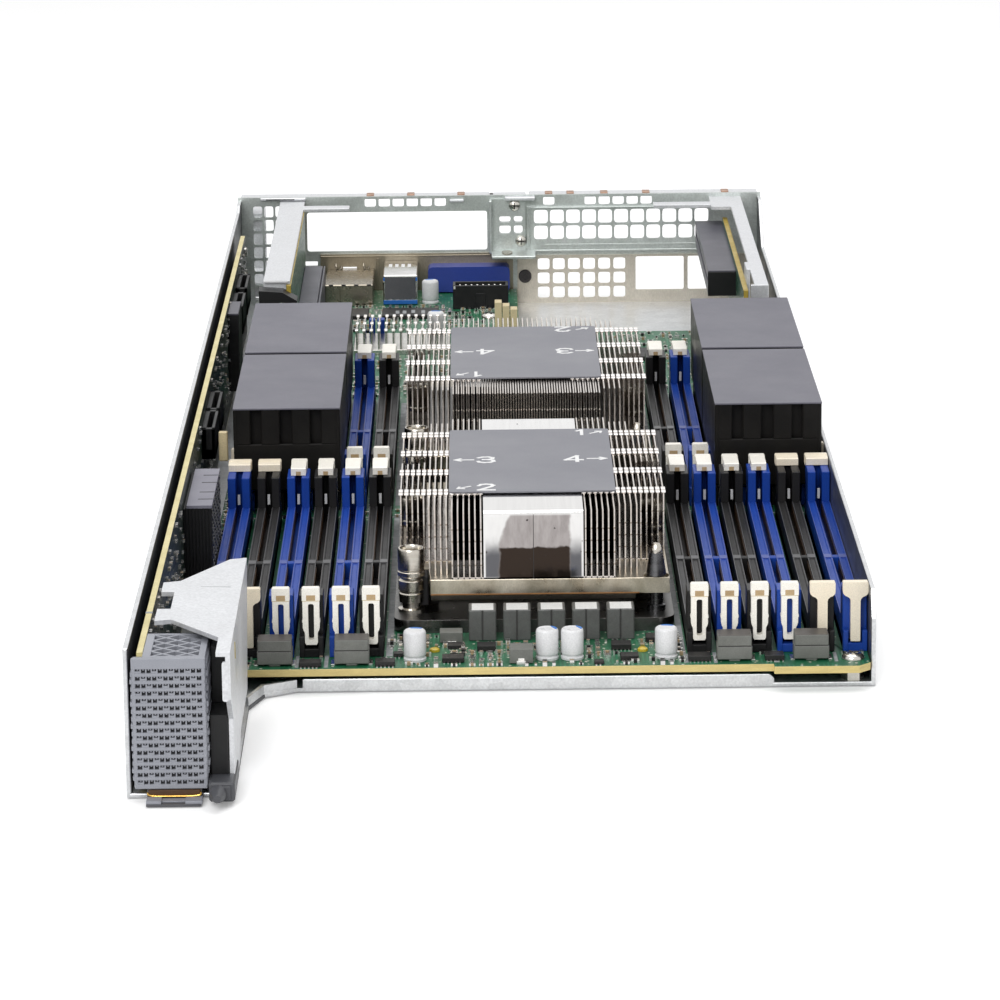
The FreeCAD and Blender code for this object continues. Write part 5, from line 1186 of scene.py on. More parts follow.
# %% Can capacitors
CANS = np.array([(67.06, 7.2), (100.76, 7.2), (107.16, 7.2), (131.06, 7.2), (67.6, 456.0), (69.9, 402.0)])
POLES = np.radians([80, 25, 25, 80, 100, 90])
CAN = [
    (2.5, 6.5), (2.9, 6.6), (2.92, 7.2), (2.75, 7.35), (2.55, 7.55), (2.55, 7.75), (2.8, 8.0), (2.88, 8.3),
    (2.88, 13.8), (2.75, 14.25), (2.45, 14.5), (2.25, 14.46), (2.2, 14.4), (0.05, 14.4),
]
parts = [("can_white", turned(CAN, ground(CANS), 40))]
for (px, py), pole in zip(CANS, POLES):
    arc = pole + np.linspace(-0.8, 0.8, 15)
    parts.append(("can_blue", prisms(np.stack([px + 2.5 * np.cos(arc), py + 2.5 * np.sin(arc)], 1), 14.3, 14.52)))
piece("cans_beaded", parts, replaces=["can_capacitors"], smooth=40)

# %% [markdown]
# A crowded board carries hundreds of parts smaller than a grain of rice: a body with two tinned ends. They are laid
# out on a loose grid, with gaps by chance, and left out wherever something larger stands. A fixed seed keeps the
# layout the same every time.

# %% Small parts on the board
SEED = 11
CLEAR_X, CLEAR_Y, CLEAR_SOCKET, CLEAR_CAN, CLEAR_SCREW = 0.9, 0.7, 4.0, 4.2, 4.4
rng = np.random.default_rng(SEED)
KEEP_OUT = np.array([
    (60.6, 30.5, 135.0, 151.5), (60.6, 168.0, 135.0, 288.5), (13.3, 157.0, 45.2, 306.5),
    (150.5, 157.0, 182.6, 306.5), (79.5, 23.4, 124.5, 32.5), (29.5, 450.0, 98.0, 480.0), (21.0, 330.0, 33.0, 480.0),
    (166.0, 330.0, 174.0, 480.0), (79.0, 445.0, 97.0, 455.0), (88.5, 411.0, 98.0, 418.0), (73.4, 3.4, 80.2, 8.8),
    (90.5, 2.0, 97.7, 9.2), (118.8, 3.6, 124.6, 8.6), (82.4, 13.6, 88.2, 19.0), (116.8, 13.6, 122.9, 18.9),
    (72.8, 21.8, 79.6, 27.6), (70.0, 12.0, 74.0, 17.0), (123.3, 11.0, 127.2, 16.0), (112.0, 0.4, 115.8, 4.0),
    (26.5, 1.4, 37.5, 10.0), (45.5, 1.4, 56.5, 10.0), (143.0, 1.4, 154.0, 10.0), (162.3, 1.4, 173.5, 10.0),
    (10.0, 0.0, 18.4, 8.4), (174.0, 0.0, 183.0, 8.4), (97.0, 404.0, 183.0, 480.0), (84.0, 426.0, 92.0, 434.0),
    (136.0, 1.8, 142.8, 7.8), (155.4, 1.8, 161.4, 7.8), (37.2, 0.4, 43.8, 5.8), (56.6, 0.4, 62.6, 5.8),
    (61.0, 9.0, 64.6, 13.0), (42.0, 370.0, 75.0, 405.0),
])


def scatter(x0, y0, x1, y1, share, pitch=(2.3, 1.6)):
    """Loose grid points in a field: each cell is kept by chance, moved a little, and dropped in a keep-out."""
    spots = stack(*grid(np.arange(x0, x1, pitch[0]), np.arange(y0, y1, pitch[1])))
    spots = spots[rng.random(len(spots)) < share] + rng.uniform(-0.15, 0.15, 2)
    x, y = spots[:, :1], spots[:, 1:]
    left, front, right, rear = KEEP_OUT.T
    taken = (x > left - CLEAR_X) & (x < right + CLEAR_X) & (y > front - CLEAR_Y) & (y < rear + CLEAR_Y)
    beside = np.abs(x - COLUMNS).min(1) < CLEAR_SOCKET
    in_bank = (y[:, 0] > 9.6) & (y[:, 0] < 152.3) | (y[:, 0] > 162.4) & (y[:, 0] < 305.2)
    near_can = np.linalg.norm(spots[:, None] - CANS[None], axis=2).min(1) < CLEAR_CAN
    near_screw = np.linalg.norm(spots[:, None] - SCREWS[None], axis=2).min(1) < CLEAR_SCREW
    return spots[~(taken.any(1) | beside & in_bank | near_can | near_screw)]


field = np.concatenate([
    scatter(61, 1.2, 135, 30, 0.62), scatter(11, 1.2, 61, 10, 0.6), scatter(135, 1.2, 182, 10, 0.6),
    scatter(12, 153, 181, 162, 0.5), scatter(26, 308, 98, 450, 0.42), scatter(98, 290, 166, 403, 0.3),
    scatter(11.2, 12, 12.6, 330, 0.75, (2.3, 2.4)),
])
long_, wide, tall = np.array([(1.5, 0.8, 0.7), (1.1, 0.55, 0.5), (1.9, 1.1, 0.9)])[rng.integers(0, 3, len(field))].T
along_x = rng.random(len(field)) < 0.5
half = np.stack([np.where(along_x, long_, wide), np.where(along_x, wide, long_)], 1) / 2
way = np.stack([along_x, ~along_x], 1)
body = half * np.where(way, 0.55, 1.0)
low, high = ground(field - body, BOARD_TOP - 0.02), ground(field + body, BOARD_TOP + tall)
kind = rng.integers(0, 4, len(field))
parts = []
for number, name in enumerate(("part_tan", "chip_black", "chip_black", "part_tan")):
    parts.append((name, boxes(low[kind == number], high[kind == number])))
for side in (-1, 1):
    middle = field + side * half * way * 0.78
    size = np.where(way, half * 0.3, half * 1.04)
    ends = boxes(ground(middle - size, BOARD_TOP - 0.02), ground(middle + size, BOARD_TOP + tall * 1.04))
    parts.append(("solder_tin", ends))
piece("small_parts_on_board", parts)

# %% [markdown]
# Between them sit a few larger chips. A chip is a flat black block with a row of bent legs along two sides, and two
# brown power chips have a tinned foot. Two yellow lenses stand near the outer nuts.

# %% Chips with legs
CHIPS = np.array([
    (74.0, 4.0, 79.6, 8.2, 1.2), (119.3, 4.1, 124.0, 8.0, 1.2), (112.6, 0.9, 115.1, 3.2, 0.8),
    (82.9, 14.1, 87.7, 18.4, 1.4), (117.3, 14.1, 122.4, 18.4, 1.4), (75.3, 16.6, 78.9, 20.0, 0.9),
    (136.5, 2.6, 142.3, 7.0, 1.3), (156.0, 2.6, 160.9, 7.0, 1.3), (37.7, 1.2, 43.3, 5.0, 1.2),
    (57.0, 1.2, 62.0, 5.0, 1.2), (61.5, 9.8, 64.1, 12.2, 0.9),
])
BROWN = np.array([(91.1, 2.5, 97.1, 8.5, 3.7), (73.3, 22.4, 79.2, 27.0, 2.7)])
parts = []
for name, table in (("chip_black", CHIPS), ("choke_brown", BROWN)):
    base = BOARD_TOP + 0.15
    parts.append((name, blocks(ground(table[:, :2], base), ground(table[:, 2:4], base + table[:, 4]), 0.12)))
legs = []
for x0, y0, x1, y1, tall in CHIPS:
    gx = np.arange(x0 + 0.5, x1 - 0.2, 1.0)
    for start, stop in ((y0 - 0.75, y0 + 0.05), (y1 - 0.05, y1 + 0.75)):
        legs.append(stack(gx - 0.2, start, 6.48, gx + 0.2, stop, 6.75))
feet = [(92.9, 1.6, 6.48, 95.3, 2.6, 7.5), (93.3, 2.42, 7.3, 94.9, 2.52, 8.0), (75.0, 21.6, 6.48, 77.6, 22.5, 7.2)]
parts.append(("solder_tin", boxes(*rows(np.concatenate(legs)))))
parts.append(("solder_tin", slabs(feet, 0.05)))
LENS = [(1.35, 6.48), (1.35, 6.9), (1.25, 7.15), (0.9, 7.4), (0.05, 7.5)]
parts.append(("lens_yellow", turned(LENS, ground([(72.0, 15.2), (125.3, 13.6)]))))
piece("chips_with_legs", parts, smooth=30)

# %% [markdown]
# Pale printed fields lie beside the sockets and between their near ends. They are thin sheets of ink on the
# lacquer, mottled because the ink is porous.

# %% Printed fields on the board
ink = np.array([
    (59.6, 11.0, 61.3, 158.0), (134.7, 11.0, 136.2, 158.0), (59.6, 168.0, 61.2, 300.0),
    (134.8, 168.0, 136.2, 300.0), (36.6, 1.2, 37.5, 12.0), (44.0, 1.2, 45.0, 12.0), (58.2, 2.0, 60.6, 9.5),
    (135.4, 2.0, 136.6, 10.0), (143.0, 1.4, 143.9, 11.0), (158.2, 1.4, 159.4, 12.0), (173.6, 1.6, 174.5, 10.0),
    (14.0, 154.0, 60.0, 155.2), (136.0, 154.0, 181.0, 155.2),
])
piece("printed_fields", [
    ("grey_ink_and_crease_shade", boxes(ground(ink[:, :2], BOARD_TOP - 0.02), ground(ink[:, 2:], BOARD_TOP + 0.04))),
])

# %% [markdown]
# The tall connector at the plug end is a stack of thin wafers. Its face is a grid of small chambers: ledges across,
# narrow walls between, a black floor of painted shade behind, and a tooth in each chamber. Every third chamber is
# half as tall, and the rows are set off in turn. The top is stiffened by a lattice of crossing ribs.

# %% Backplane connector
WAFER_PITCH = 1.81
level = 4.3 + WAFER_PITCH * np.arange(16)
column = 3.0 + 1.3 * np.arange(13)
ledge = stack(2.3, -88.0, level[:-1] + 1.0, 19.3, -87.1, level[1:])
frame_bars = [
    (2.1, -88.0, 32.45, 19.5, -86.8, 35.0), (2.3, -87.95, 3.2, 19.3, -87.0, 4.3),
    (2.1, -87.0, 3.2, 19.5, -82.05, 33.9), (4.62, -82.1, 3.2, 19.5, -66.0, 33.9),
    (2.2, -87.9, 4.0, 3.05, -86.9, 32.6), (18.5, -87.9, 4.0, 19.4, -86.9, 32.6),
]
gx, gz = grid(column[1:-1], level)
walls = stack(gx - 0.16, -87.9, gz, gx + 0.16, -87.2, gz + 1.0)
cx, row = grid(np.arange(12), np.arange(16))
low_hole = (cx + row) % 3 == 0
gx, gz = column[cx] + 0.65, level[row]
half_wall = stack(gx - 0.6, -87.85, gz, gx + 0.6, -87.2, gz + 0.5)[low_hole]
teeth = stack(gx - 0.17, -87.75, gz + 0.7, gx + 0.17, -87.2, gz + 1.0)
turn = np.arange(15)
up = WAFER_PITCH * turn
bumps = stack(
    19.3, -87.0 + 0.5 * (turn % 3), 6.6 + up, 19.75 + 0.2 * (turn % 2), -71.0 + 3.0 * (turn % 4), 8.0 + up,
)
notches = stack(19.4, -85.6 + 2.2 * (turn % 4), 6.0 + up, 19.62, -84.0 + 2.2 * (turn % 4), 7.0 + up)
left_bumps = stack(1.85 - 0.15 * (turn % 3 == 1), -87.8, 5.2 + up, 2.4, -83.0, 6.3 + up)
rim = [
    (4.62, -86.9, 33.8, 19.4, -85.4, 35.0), (4.62, -67.2, 33.8, 19.4, -66.1, 35.0),
    (4.62, -85.6, 33.8, 6.6, -67.0, 35.0), (17.8, -85.6, 33.8, 19.4, -67.0, 35.0),
]
# Painted shade: black sheets behind the chambers and under the lattice, and black notches on the side.
floors = [(2.6, -87.16, 4.1, 19.0, -87.06, 32.6), (6.4, -85.6, 33.82, 18.0, -67.0, 33.95)]
rib_ends = np.array([
    (6.4, -85.5, 18.0, -76.4), (18.0, -85.5, 6.4, -76.4), (6.4, -76.4, 18.0, -67.1), (18.0, -76.4, 6.4, -67.1),
    (12.2, -85.5, 18.0, -80.9), (12.2, -85.5, 6.4, -80.9), (6.4, -80.9, 18.0, -71.8), (18.0, -80.9, 6.4, -71.8),
    (6.4, -71.8, 12.2, -67.1), (18.0, -71.8, 12.2, -67.1),
])
first, last = rib_ends[:, :2], rib_ends[:, 2:]
across = np.stack([first[:, 1] - last[:, 1], last[:, 0] - first[:, 0]], 1)
across *= 0.36 / np.linalg.norm(across, axis=1)[:, None]
ribs = np.stack([first - across, last - across, last + across, first + across], 1)
flip = np.cross(ribs[:, 1] - ribs[:, 0], ribs[:, 2] - ribs[:, 1]) < 0
ribs[flip] = ribs[flip][:, ::-1]
piece("backplane_connector_wafers", [
    ("connector_grey", slabs(np.concatenate([ledge, frame_bars, rim]), 0.12)),
    ("connector_grey", boxes(*rows(np.concatenate([walls, half_wall, teeth])))),
    ("connector_grey", slabs(np.concatenate([bumps, left_bumps]), 0.2)),
    ("hole_painted_shade", boxes(*rows(np.concatenate([notches, floors])))),
    ("connector_grey", bars(ribs, 33.9, 34.85)),
    ("header_black", slabs([(19.9, -84.5, 5.4, 24.3, -64.0, 20.0), (19.9, -74.0, 19.8, 24.3, -63.0, 34.0)], 0.3)),
], replaces=["backplane_connector"])

# %% [markdown]
# Below it is the power contact: a dark mouth with a gilt rim, and a lip with small square teeth. The rim is a tube
# along a rounded rectangle.

# %% Power connector
turn = np.linspace(np.pi * 0.98, 2.02 * np.pi, 32)
across, up = np.cos(turn), np.sin(turn)
loop = stack(
    11.5 + 6.25 * np.sign(across) * np.abs(across) ** 0.35, -87.95, 2.2 + 0.8 * np.sign(up) * np.abs(up) ** 0.6,
)
teeth = [
    (5.0, -91.6, 0.4, 8.6, -86.0, 1.3), (14.2, -91.6, 0.4, 18.2, -86.0, 1.3), (8.2, -90.2, 0.3, 14.4, -86.0, 0.9),
]
piece("power_mouth", [
    ("power_black", slabs([(5.0, -87.4, 1.2, 18.0, -66.0, 3.2), (5.0, -92.0, 0.0, 18.0, -85.0, 0.6)], 0.15)),
    ("amber_dark", slabs((5.4, -87.8, 1.5, 17.6, -87.3, 2.9), 0.1)),
    ("gilt", tube(loop, 0.24, 8)),
    ("connector_grey", slabs(teeth, 0.12)),
], replaces=["power_connector"], smooth=40)

# %% [markdown]
# On the adapter board stands a second wafer connector with a pale comb on top and rows of slanted tabs down its
# side. Further back stand four low plugs and a tall narrow socket with a lilac top. The comb is an outline with
# slits, carried upwards.

# %% Connectors on the adapter board
front, length = 73.6, 41.4
slit = front + length * np.array([0.17, 0.36, 0.62, 0.82])
edge = np.concatenate([[(12.4, s - 0.3), (8.4, s - 0.3), (8.4, s + 0.3), (12.4, s + 0.3)] for s in slit])
near, far = front - 0.1, front + length + 0.1
comb = np.concatenate([[(5.6, near), (12.4, near)], edge, [(12.4, far), (5.6, far)]])
gy, gz = grid(front + 1.2 + 3.3 * np.arange(12), 11.0 + 1.75 * np.arange(11))
gy += 0.7 * (np.arange(len(gy)) % 2)
tabs = stack(12.1, gy, gz, 12.45, gy + 2.1, gz + 1.0)
left = 5.2 + 0.9 * np.arange(8)
wafer = stack(left, front, 8.0, left + 0.7, front + length, 30.3)
plug = [
    (4.6, 0, 22, 6.0, 24, 31), (7.4, 0, 22, 8.4, 24, 31), (4.6, 0, 22, 8.4, 24, 25), (4.6, 0, 22, 8.4, 1.6, 31),
    (4.6, 22.4, 22, 8.4, 24, 31),
]
plugs = stack(0.0, (163.3, 188.5, 334.3, 364.3), 0.0)
block = [(4.6, front + 0.3, 8.2, 12.1, front + length - 0.3, 30.0)]
piece("adapter_sockets_wafers", [
    ("header_black", slabs(np.concatenate([wafer, block]), 0.15)),
    ("comb_lilac", prisms(comb, 30.2, 31.0)),
    # Painted shade: black blocks in the slits of the comb.
    ("hole_painted_shade", slabs(stack(8.3, slit - 0.36, 30.5, 12.42, slit + 0.36, 31.03), 0.02)),
    ("peg_grey", slabs(tabs, 0.12)),
    ("comb_white", slabs(tabs[::2], 0.12)),
    ("header_black", copies(slabs(plug, 0.15), plugs)),
    ("jumper_cream", slabs([(9.6, 160.6, 22.0, 12.2, 162.4, 30.6)], 0.3)),
    ("header_black", slabs([(4.6, 312.0, 8.2, 8.2, 331.0, 33.2)], 0.2)),
    ("slot_lilac", slabs([(4.7, 311.9, 32.9, 8.1, 331.1, 33.5)], 0.1)),
], replaces=["adapter_sockets"])

# %% [markdown]
# The inner side of the adapter board is crowded too. Its small parts are laid out in y and z.

# %% Small parts on the adapter board
gy, gz = grid(np.arange(-60, 432, 2.5), np.arange(9.0, 34.2, 1.9))
by_wafers = (gy > 70) & (gy < 117)
by_plugs = (gz > 20) & (((gy > 161) & (gy < 215)) | ((gy > 332) & (gy < 390)))
keep = (rng.random(len(gy)) < 0.13) & ~by_wafers & ~by_plugs
gy, gz = gy[keep] + rng.uniform(-0.3, 0.3, keep.sum()), gz[keep]
grow = rng.uniform(0.6, 1.3, len(gy))
low = stack(4.58, gy - 0.42 * grow, gz - 0.35)
high = stack(4.9 + 0.3 * grow, gy + 0.42 * grow, gz + 0.35)
kind = rng.integers(0, 4, len(gy))
names = ("part_tan", "chip_black", "chip_black", "peg_grey")
parts = [(name, boxes(low[kind == n], high[kind == n])) for n, name in enumerate(names)]
for side in (-1, 1):
    y = gy + side * 0.66 * grow
    low, high = stack(4.58, y - 0.24 * grow, gz - 0.37), stack(4.95 + 0.3 * grow, y + 0.24 * grow, gz + 0.37)
    parts.append(("solder_tin", boxes(low, high)))
piece("small_parts_on_adapter", parts)

# %% [markdown]
# Each memory cover is a thin moulded hood: a flat top with a slight rim, four walls, and three slits in the front
# of the near one. Top and walls are blocks, and every hood rides on its own body, because it lifts off. The top
# plate takes a lighter copy of the hood's dark finish, a painted sheen of the light at a low angle.

# %% Memory covers
HOOD_LOW, HOOD_HIGH, HOOD_WIDTH = 14.0, 37.6, 30.6
SLITS = np.array([4.95, 8.04, 13.3, 16.74, 22.0, 25.1])


def hood(x0, y0, x1, y1, slits):
    """A hood from y0 to y1: a top plate, two side walls, a back, and a front cut by upright slits."""
    low, high = HOOD_LOW, HOOD_HIGH
    walls = [
        (x0, y0, 37.5, x1, y1, 38.0), (x0 + 0.1, y0 + 0.2, low, x0 + 1.3, y1 - 0.1, high),
        (x1 - 1.3, y0 + 0.2, low, x1 - 0.1, y1 - 0.1, high), (x0 + 0.2, y1 - 1.3, low, x1 - 0.2, y1 - 0.2, high),
    ]
    if not slits:
        return walls + [(x0 + 0.2, y0 + 0.3, low, x1 - 0.2, y0 + 1.3, high)]
    edges = [x0 + 0.2, *(x0 + SLITS), x1 - 0.2]
    walls += [(a, y0 + 0.3, 27.3, b, y0 + 1.4, high) for a, b in zip(edges[::2], edges[1::2])]
    walls.append((x0 + 0.2, y0 + 0.3, low, x1 - 0.2, y0 + 1.4, 27.4))
    return walls + [(x0 + 3.0, y0 + 3.2, 26.0, x1 - 3.0, y0 + 3.8, 37.1)]


for side, x0 in (("left", 13.9), ("right", 151.22)):
    for end, y0, y1 in (("near", 157.8, 229.9), ("far", 233.1, 305.9)):
        node = f"memory_cover_{side}_{end}"
        walls = hood(x0, y0, x0 + HOOD_WIDTH, y1, end == "near")
        piece(node + "_moulded", [
            ("cover_top", slabs(walls[:1], 0.35)), ("cover_grey", slabs(walls[1:], 0.35)),
        ], body=node + "_piece", replaces=[node])

# %% [markdown]
# The rear panel is a sheet with many openings. Its plain part is cut along the edges of all openings into
# rectangles, and those inside an opening are left out. Grids of small holes come from the perforated sheet, and
# large openings get rounded corners. The top edge is folded to the rear and carries small spring gaskets.

# %% Rear panel
def sheet(x0, z0, x1, z1, openings, front, back):
    """A flat sheet in x and z: the cells between all edges of the openings, less those inside an opening."""
    holes = np.asarray(openings, float)
    xs = np.unique(np.concatenate([[x0, x1], holes[:, 0], holes[:, 2]]))
    zs = np.unique(np.concatenate([[z0, z1], holes[:, 1], holes[:, 3]]))
    low = np.stack(np.meshgrid(xs[:-1], zs[:-1], indexing="ij"), -1).reshape(-1, 2)
    high = np.stack(np.meshgrid(xs[1:], zs[1:], indexing="ij"), -1).reshape(-1, 2)
    x, z = ((low + high) / 2).T[..., None]
    open_ = ((x > holes[:, 0]) & (x < holes[:, 2]) & (z > holes[:, 1]) & (z < holes[:, 3])).any(1)
    low, high = np.insert(low[~open_], 1, front, 1), np.insert(high[~open_], 1, back, 1)
    return boxes(low, high)


def fillets(openings, radius, front, back):
    """Hollow corner pieces of an opening: the corner and a quarter arc bowed towards it."""
    t = np.linspace(0, np.pi / 2, 6)
    arc = np.concatenate([[(0, 0)], radius * np.stack([1 - np.sin(t), 1 - np.cos(t)], 1)])
    ends = [
        ((x, z), (right, up)) for x0, z0, x1, z1 in openings
        for x, right in ((x0, 1), (x1, -1)) for z, up in ((z0, 1), (z1, -1))
    ]
    return [prisms((arc * way + place)[:, ::-1], front, back, "y") for place, way in ends]


PANEL = (PANEL_FACE, PANEL_FACE + PANEL_THICK)
SLOTS = [
    (24.2, 20.3, 87.7, 34.3), (102.6, 20.4, 173.0, 34.9), (99.2, 2.0, 182.0, 17.8), (29.4, 2.0, 96.0, 18.8),
    (22.8, 15.2, 27.7, 16.8),
]
WINDOWS = [(92.0, 30.2, 96.0, 32.4), (97.1, 30.2, 100.2, 32.4), (92.0, 26.1, 96.0, 29.1), (97.1, 26.1, 100.2, 29.1)]
TOP_ROWS = [((x, 35.8), (4.93, 3.6), (4.0, 3.1), (n, 1)) for x, n in ((44.135, 6), (121.635, 5), (107.035, 1))]
GRIDS = [((4.95, 3.175), (3.9, 4.85), (3.2, 4.0), (4, 7)), *TOP_ROWS]
fields = [(x, z, x + px * nx, z + pz * nz) for (x, z), (px, pz), hole, (nx, nz) in GRIDS]
parts = [("panel_steel", sheet(0.0, 0.0, SLED_WIDTH, SLED_HEIGHT, SLOTS + WINDOWS + fields, *PANEL))]
parts += [("panel_steel", s) for s in fillets(SLOTS[:1] + WINDOWS, 0.9, *PANEL)]
for (x, z), pitch, hole, counts in GRIDS:
    parts.append(("panel_steel", perforated((x, PANEL_FACE, z), pitch, hole, counts, PANEL_THICK)))
fold = [
    (1.0, 481.5, 38.7, 88.6, 487.4, 39.8), (90.0, 481.5, 38.7, 101.4, 486.6, 39.8),
    (102.6, 481.5, 38.7, 183.0, 488.2, 39.8),
]
lips = [
    (8.0, 479.0, 38.9, 24.0, 480.7, 39.8), (94.0, 477.4, 38.3, 104.6, 480.7, 39.5),
    (74.6, 479.2, 37.6, 79.6, 480.7, 38.6),
]
parts.append(("bracket_white", slabs(fold + lips, 0.3)))
gx = np.array([46.6, 60.9, 78.6, 109.5, 117.1, 129.0, 143.8, 171.6])
parts.append(("gasket_tan", slabs(stack(gx - 1.3, 482.0, 39.7, gx + 1.3, 486.4, 40.2), 0.2)))
seams = [(10.0, 478.96, 39.1, 20.0, 479.02, 39.5), (88.7, 481.6, 38.8, 89.9, 486.0, 39.7)]
parts.append(("dark_parts_and_recess_shade", slabs(seams, 0.02)))
piece("rear_panel_pressed", parts, replaces=["rear_panel"])

# %% [markdown]
# The plates in the panel's openings are pressed sheets too: the blank of the second card slot with two rows of
# square holes and a rim, and the nickel plate of the network bay with a round dark knob. The post between the slots
# has four small windows, a foot bent forwards and two screws.

# %% Blank, bay plate and centre post
PLATE_FRONT, PLATE_BACK = 479.6, PANEL_FACE
POST_SPAN = (479.4, 480.5)
blank = [(103.82, 23.62, 166.08, 34.94)]
rims = [
    (103.0, 478.9, 35.15, 172.4, 479.7, 35.6), (103.0, 478.9, 19.7, 172.4, 479.7, 20.3),
    (108.0, 479.35, 21.6, 164.0, 479.65, 22.3), (102.2, 478.9, 20.2, 102.8, 479.7, 35.4),
]
piece("slot_blank_pressed", [
    ("panel_steel", sheet(101.8, 19.6, 173.8, 35.6, blank, PLATE_FRONT, PLATE_BACK)),
    ("panel_steel", perforated((103.82, PLATE_FRONT, 23.62), (5.66, 5.66), (4.9, 4.9), (11, 2), 1.0)),
    ("panel_steel", slabs(rims, 0.2)),
], replaces=["slot_blank"])
bay = [(104.825, 2.425, 136.925, 17.675), (140.0, 5.5, 157.0, 17.5), (158.4, 5.5, 170.4, 17.5)]
knob = [(0.05, 478.9), (1.0, 478.9), (1.1, 478.5), (2.1, 478.5), (2.3, 478.8), (2.3, 479.62)]
parts = [
    ("nickel_plate", sheet(98.2, 1.2, 182.82, 18.2, bay, PLATE_FRONT, PLATE_BACK)),
    ("nickel_plate", perforated((104.825, PLATE_FRONT, 2.425), (5.35, 5.0833), (4.2, 4.1), (6, 3), 1.0)),
    ("dark_parts_and_recess_shade", turned(knob, [(100.9, 0.0, 10.9)], axis="y")),
]
parts += [("nickel_plate", s) for s in fillets(bay[1:], 0.6, PLATE_FRONT, PLATE_BACK)]
piece("bay_plate_pressed", parts, replaces=["network_bay_plate"], smooth=30)
oval = np.linspace(0, 2 * np.pi, 24, endpoint=False)
oval = np.stack([94.6 + 1.9 * np.cos(oval), 473.6 + 3.4 * np.sin(oval)], 1)
parts = [
    ("panel_steel", sheet(89.2, 19.4, 101.2, 38.6, WINDOWS, *POST_SPAN)),
    ("panel_steel", slabs([(89.2, 467.6, 19.4, 104.6, 480.0, 20.4), (88.4, 476.4, 19.6, 89.4, 480.4, 38.4)], 0.3)),
    ("port_metal", prisms(oval, 20.3, 20.75)),
]
parts += [("panel_steel", s) for s in fillets(WINDOWS, 0.6, *POST_SPAN)]
piece("centre_post_bent", parts, replaces=["centre_post"])
pan = [(0.05, 477.9), (1.1, 478.0), (1.8, 478.5), (2.05, 479.3), (2.05, 479.6)]
heads = np.array([(97.4, 0.0, 36.4), (99.6, 0.0, 23.6)])
# Painted shade: the cross recess of each panel screw as two dark bars.
notch = copies(slabs([(-1.2, 477.85, -0.2, 1.2, 478.05, 0.2), (-0.2, 477.85, -1.2, 0.2, 478.05, 1.2)], 0.02), heads)
piece("panel_screws_pan_head", [
    ("standoff_brass", turned(pan, heads, axis="y")), ("dark_parts_and_recess_shade", notch),
], replaces=["panel_screws"], smooth=35)

# %% [markdown]
# The ports stand on the board and look out through a nickel plate: a network jack in a folded cage with two spring
# hooks, two stacked serial sockets in a bright shell, and a blue video socket with its threaded posts. Their rear
# openings are black sheets of painted shade, with a tongue inside, and the pin holes of the video socket are dark
# boxes of painted shade.

# %% Ports and their plate
holes = [(32.2, 7.4, 46.4, 13.4), (52.4, 7.4, 62.2, 16.2), (36.6, 13.9, 41.5, 14.9)]
piece("port_plate_pressed", [
    ("port_brown", sheet(28.7, 1.2, 96.7, 19.4, holes, PLATE_FRONT, PLATE_BACK)),
    ("port_brown", slabs([(28.8, 479.2, 18.4, 96.6, 479.7, 18.9), (48.6, 479.2, 7.0, 49.4, 479.7, 18.0)], 0.15)),
], replaces=["port_plate"])
hook = np.array([
    (0.0, 479.3, 16.2), (0.0, 478.8, 15.2), (0.25, 478.3, 14.5), (1.0, 478.1, 14.2), (1.7, 478.3, 14.5),
    (1.9, 478.9, 15.4),
])
cage = [(30.9, 451.0, 6.5, 47.8, 479.5, 14.2), (31.6, 479.0, 6.9, 47.0, 482.4, 14.0)]
dash = [(32.4 + 4.4 * i, 450.9, 13.75, 33.9 + 4.4 * i, 451.4, 14.26) for i in range(4)]
piece("network_jack_folded", [
    ("port_metal", slabs(cage, 0.3)), ("dark_parts_and_recess_shade", slabs(dash + [(36.2, 450.95, 6.7, 36.35, 451.05, 13.6)], 0.02)),
    # Painted shade: a black sheet in the jack's rear opening.
    ("hole_painted_shade", slabs((32.4, 482.1, 7.4, 46.2, 482.5, 13.2), 0.1)),
    ("gilt", slabs([(34.6 + 1.2 * i, 482.3, 11.8, 35.0 + 1.2 * i, 482.6, 13.0) for i in range(8)], 0.03)),
    ("port_metal", tube(hook + (34.2, 0, 0), 0.22, 6)), ("port_metal", tube(hook + (44.0, 0, 0), 0.22, 6)),
], replaces=["network_jack"])
shell = [(51.2, 453.0, 6.5, 63.2, 479.5, 17.0), (51.8, 479.0, 6.8, 62.8, 482.4, 16.8)]
slits = [(53.0 + 2.2 * i, 468.0, 16.98, 54.2 + 2.2 * i, 473.0, 17.04) for i in range(4)]
tongue = [(53.2, 481.9, 9.2, 61.6, 482.6, 10.4), (53.2, 481.9, 13.6, 61.6, 482.6, 14.8)]
edges = [
    (51.3, 452.7, 6.8, 63.1, 453.2, 8.2), (51.25, 452.8, 15.0, 51.9, 453.1, 16.2),
    (62.5, 452.8, 15.0, 63.15, 453.1, 16.2),
]
piece("bus_port_shell", [
    ("chrome_bright", slabs(shell, 0.35)), ("print_white", slabs(slits, 0.02)),
    ("power_black", slabs((51.8, 452.85, 8.5, 62.6, 453.1, 16.3), 0.05)),
    ("tongue_blue", slabs(edges + tongue, 0.08)),
    # Painted shade: a black sheet in the shell's rear opening.
    ("hole_painted_shade", slabs((52.6, 482.1, 7.4, 62.0, 482.5, 16.0), 0.1)),
], replaces=["bus_port"])
slant = np.array([(-8.9, 4.1), (8.9, 4.1), (7.6, -4.1), (-7.6, -4.1)])
hexes = [(2.3, 480.4), (2.3, 485.4), (2.05, 485.8), (1.3, 485.8), (1.3, 482.4), (0.05, 482.4)]
video_x, video_z = middle = (81.2, 12.3)
k, i = grid(np.arange(3), np.arange(5))
px, pz = video_x + 2.29 * (i - 2) + 1.1 * (k % 2), video_z + 2.0 * (k - 1)
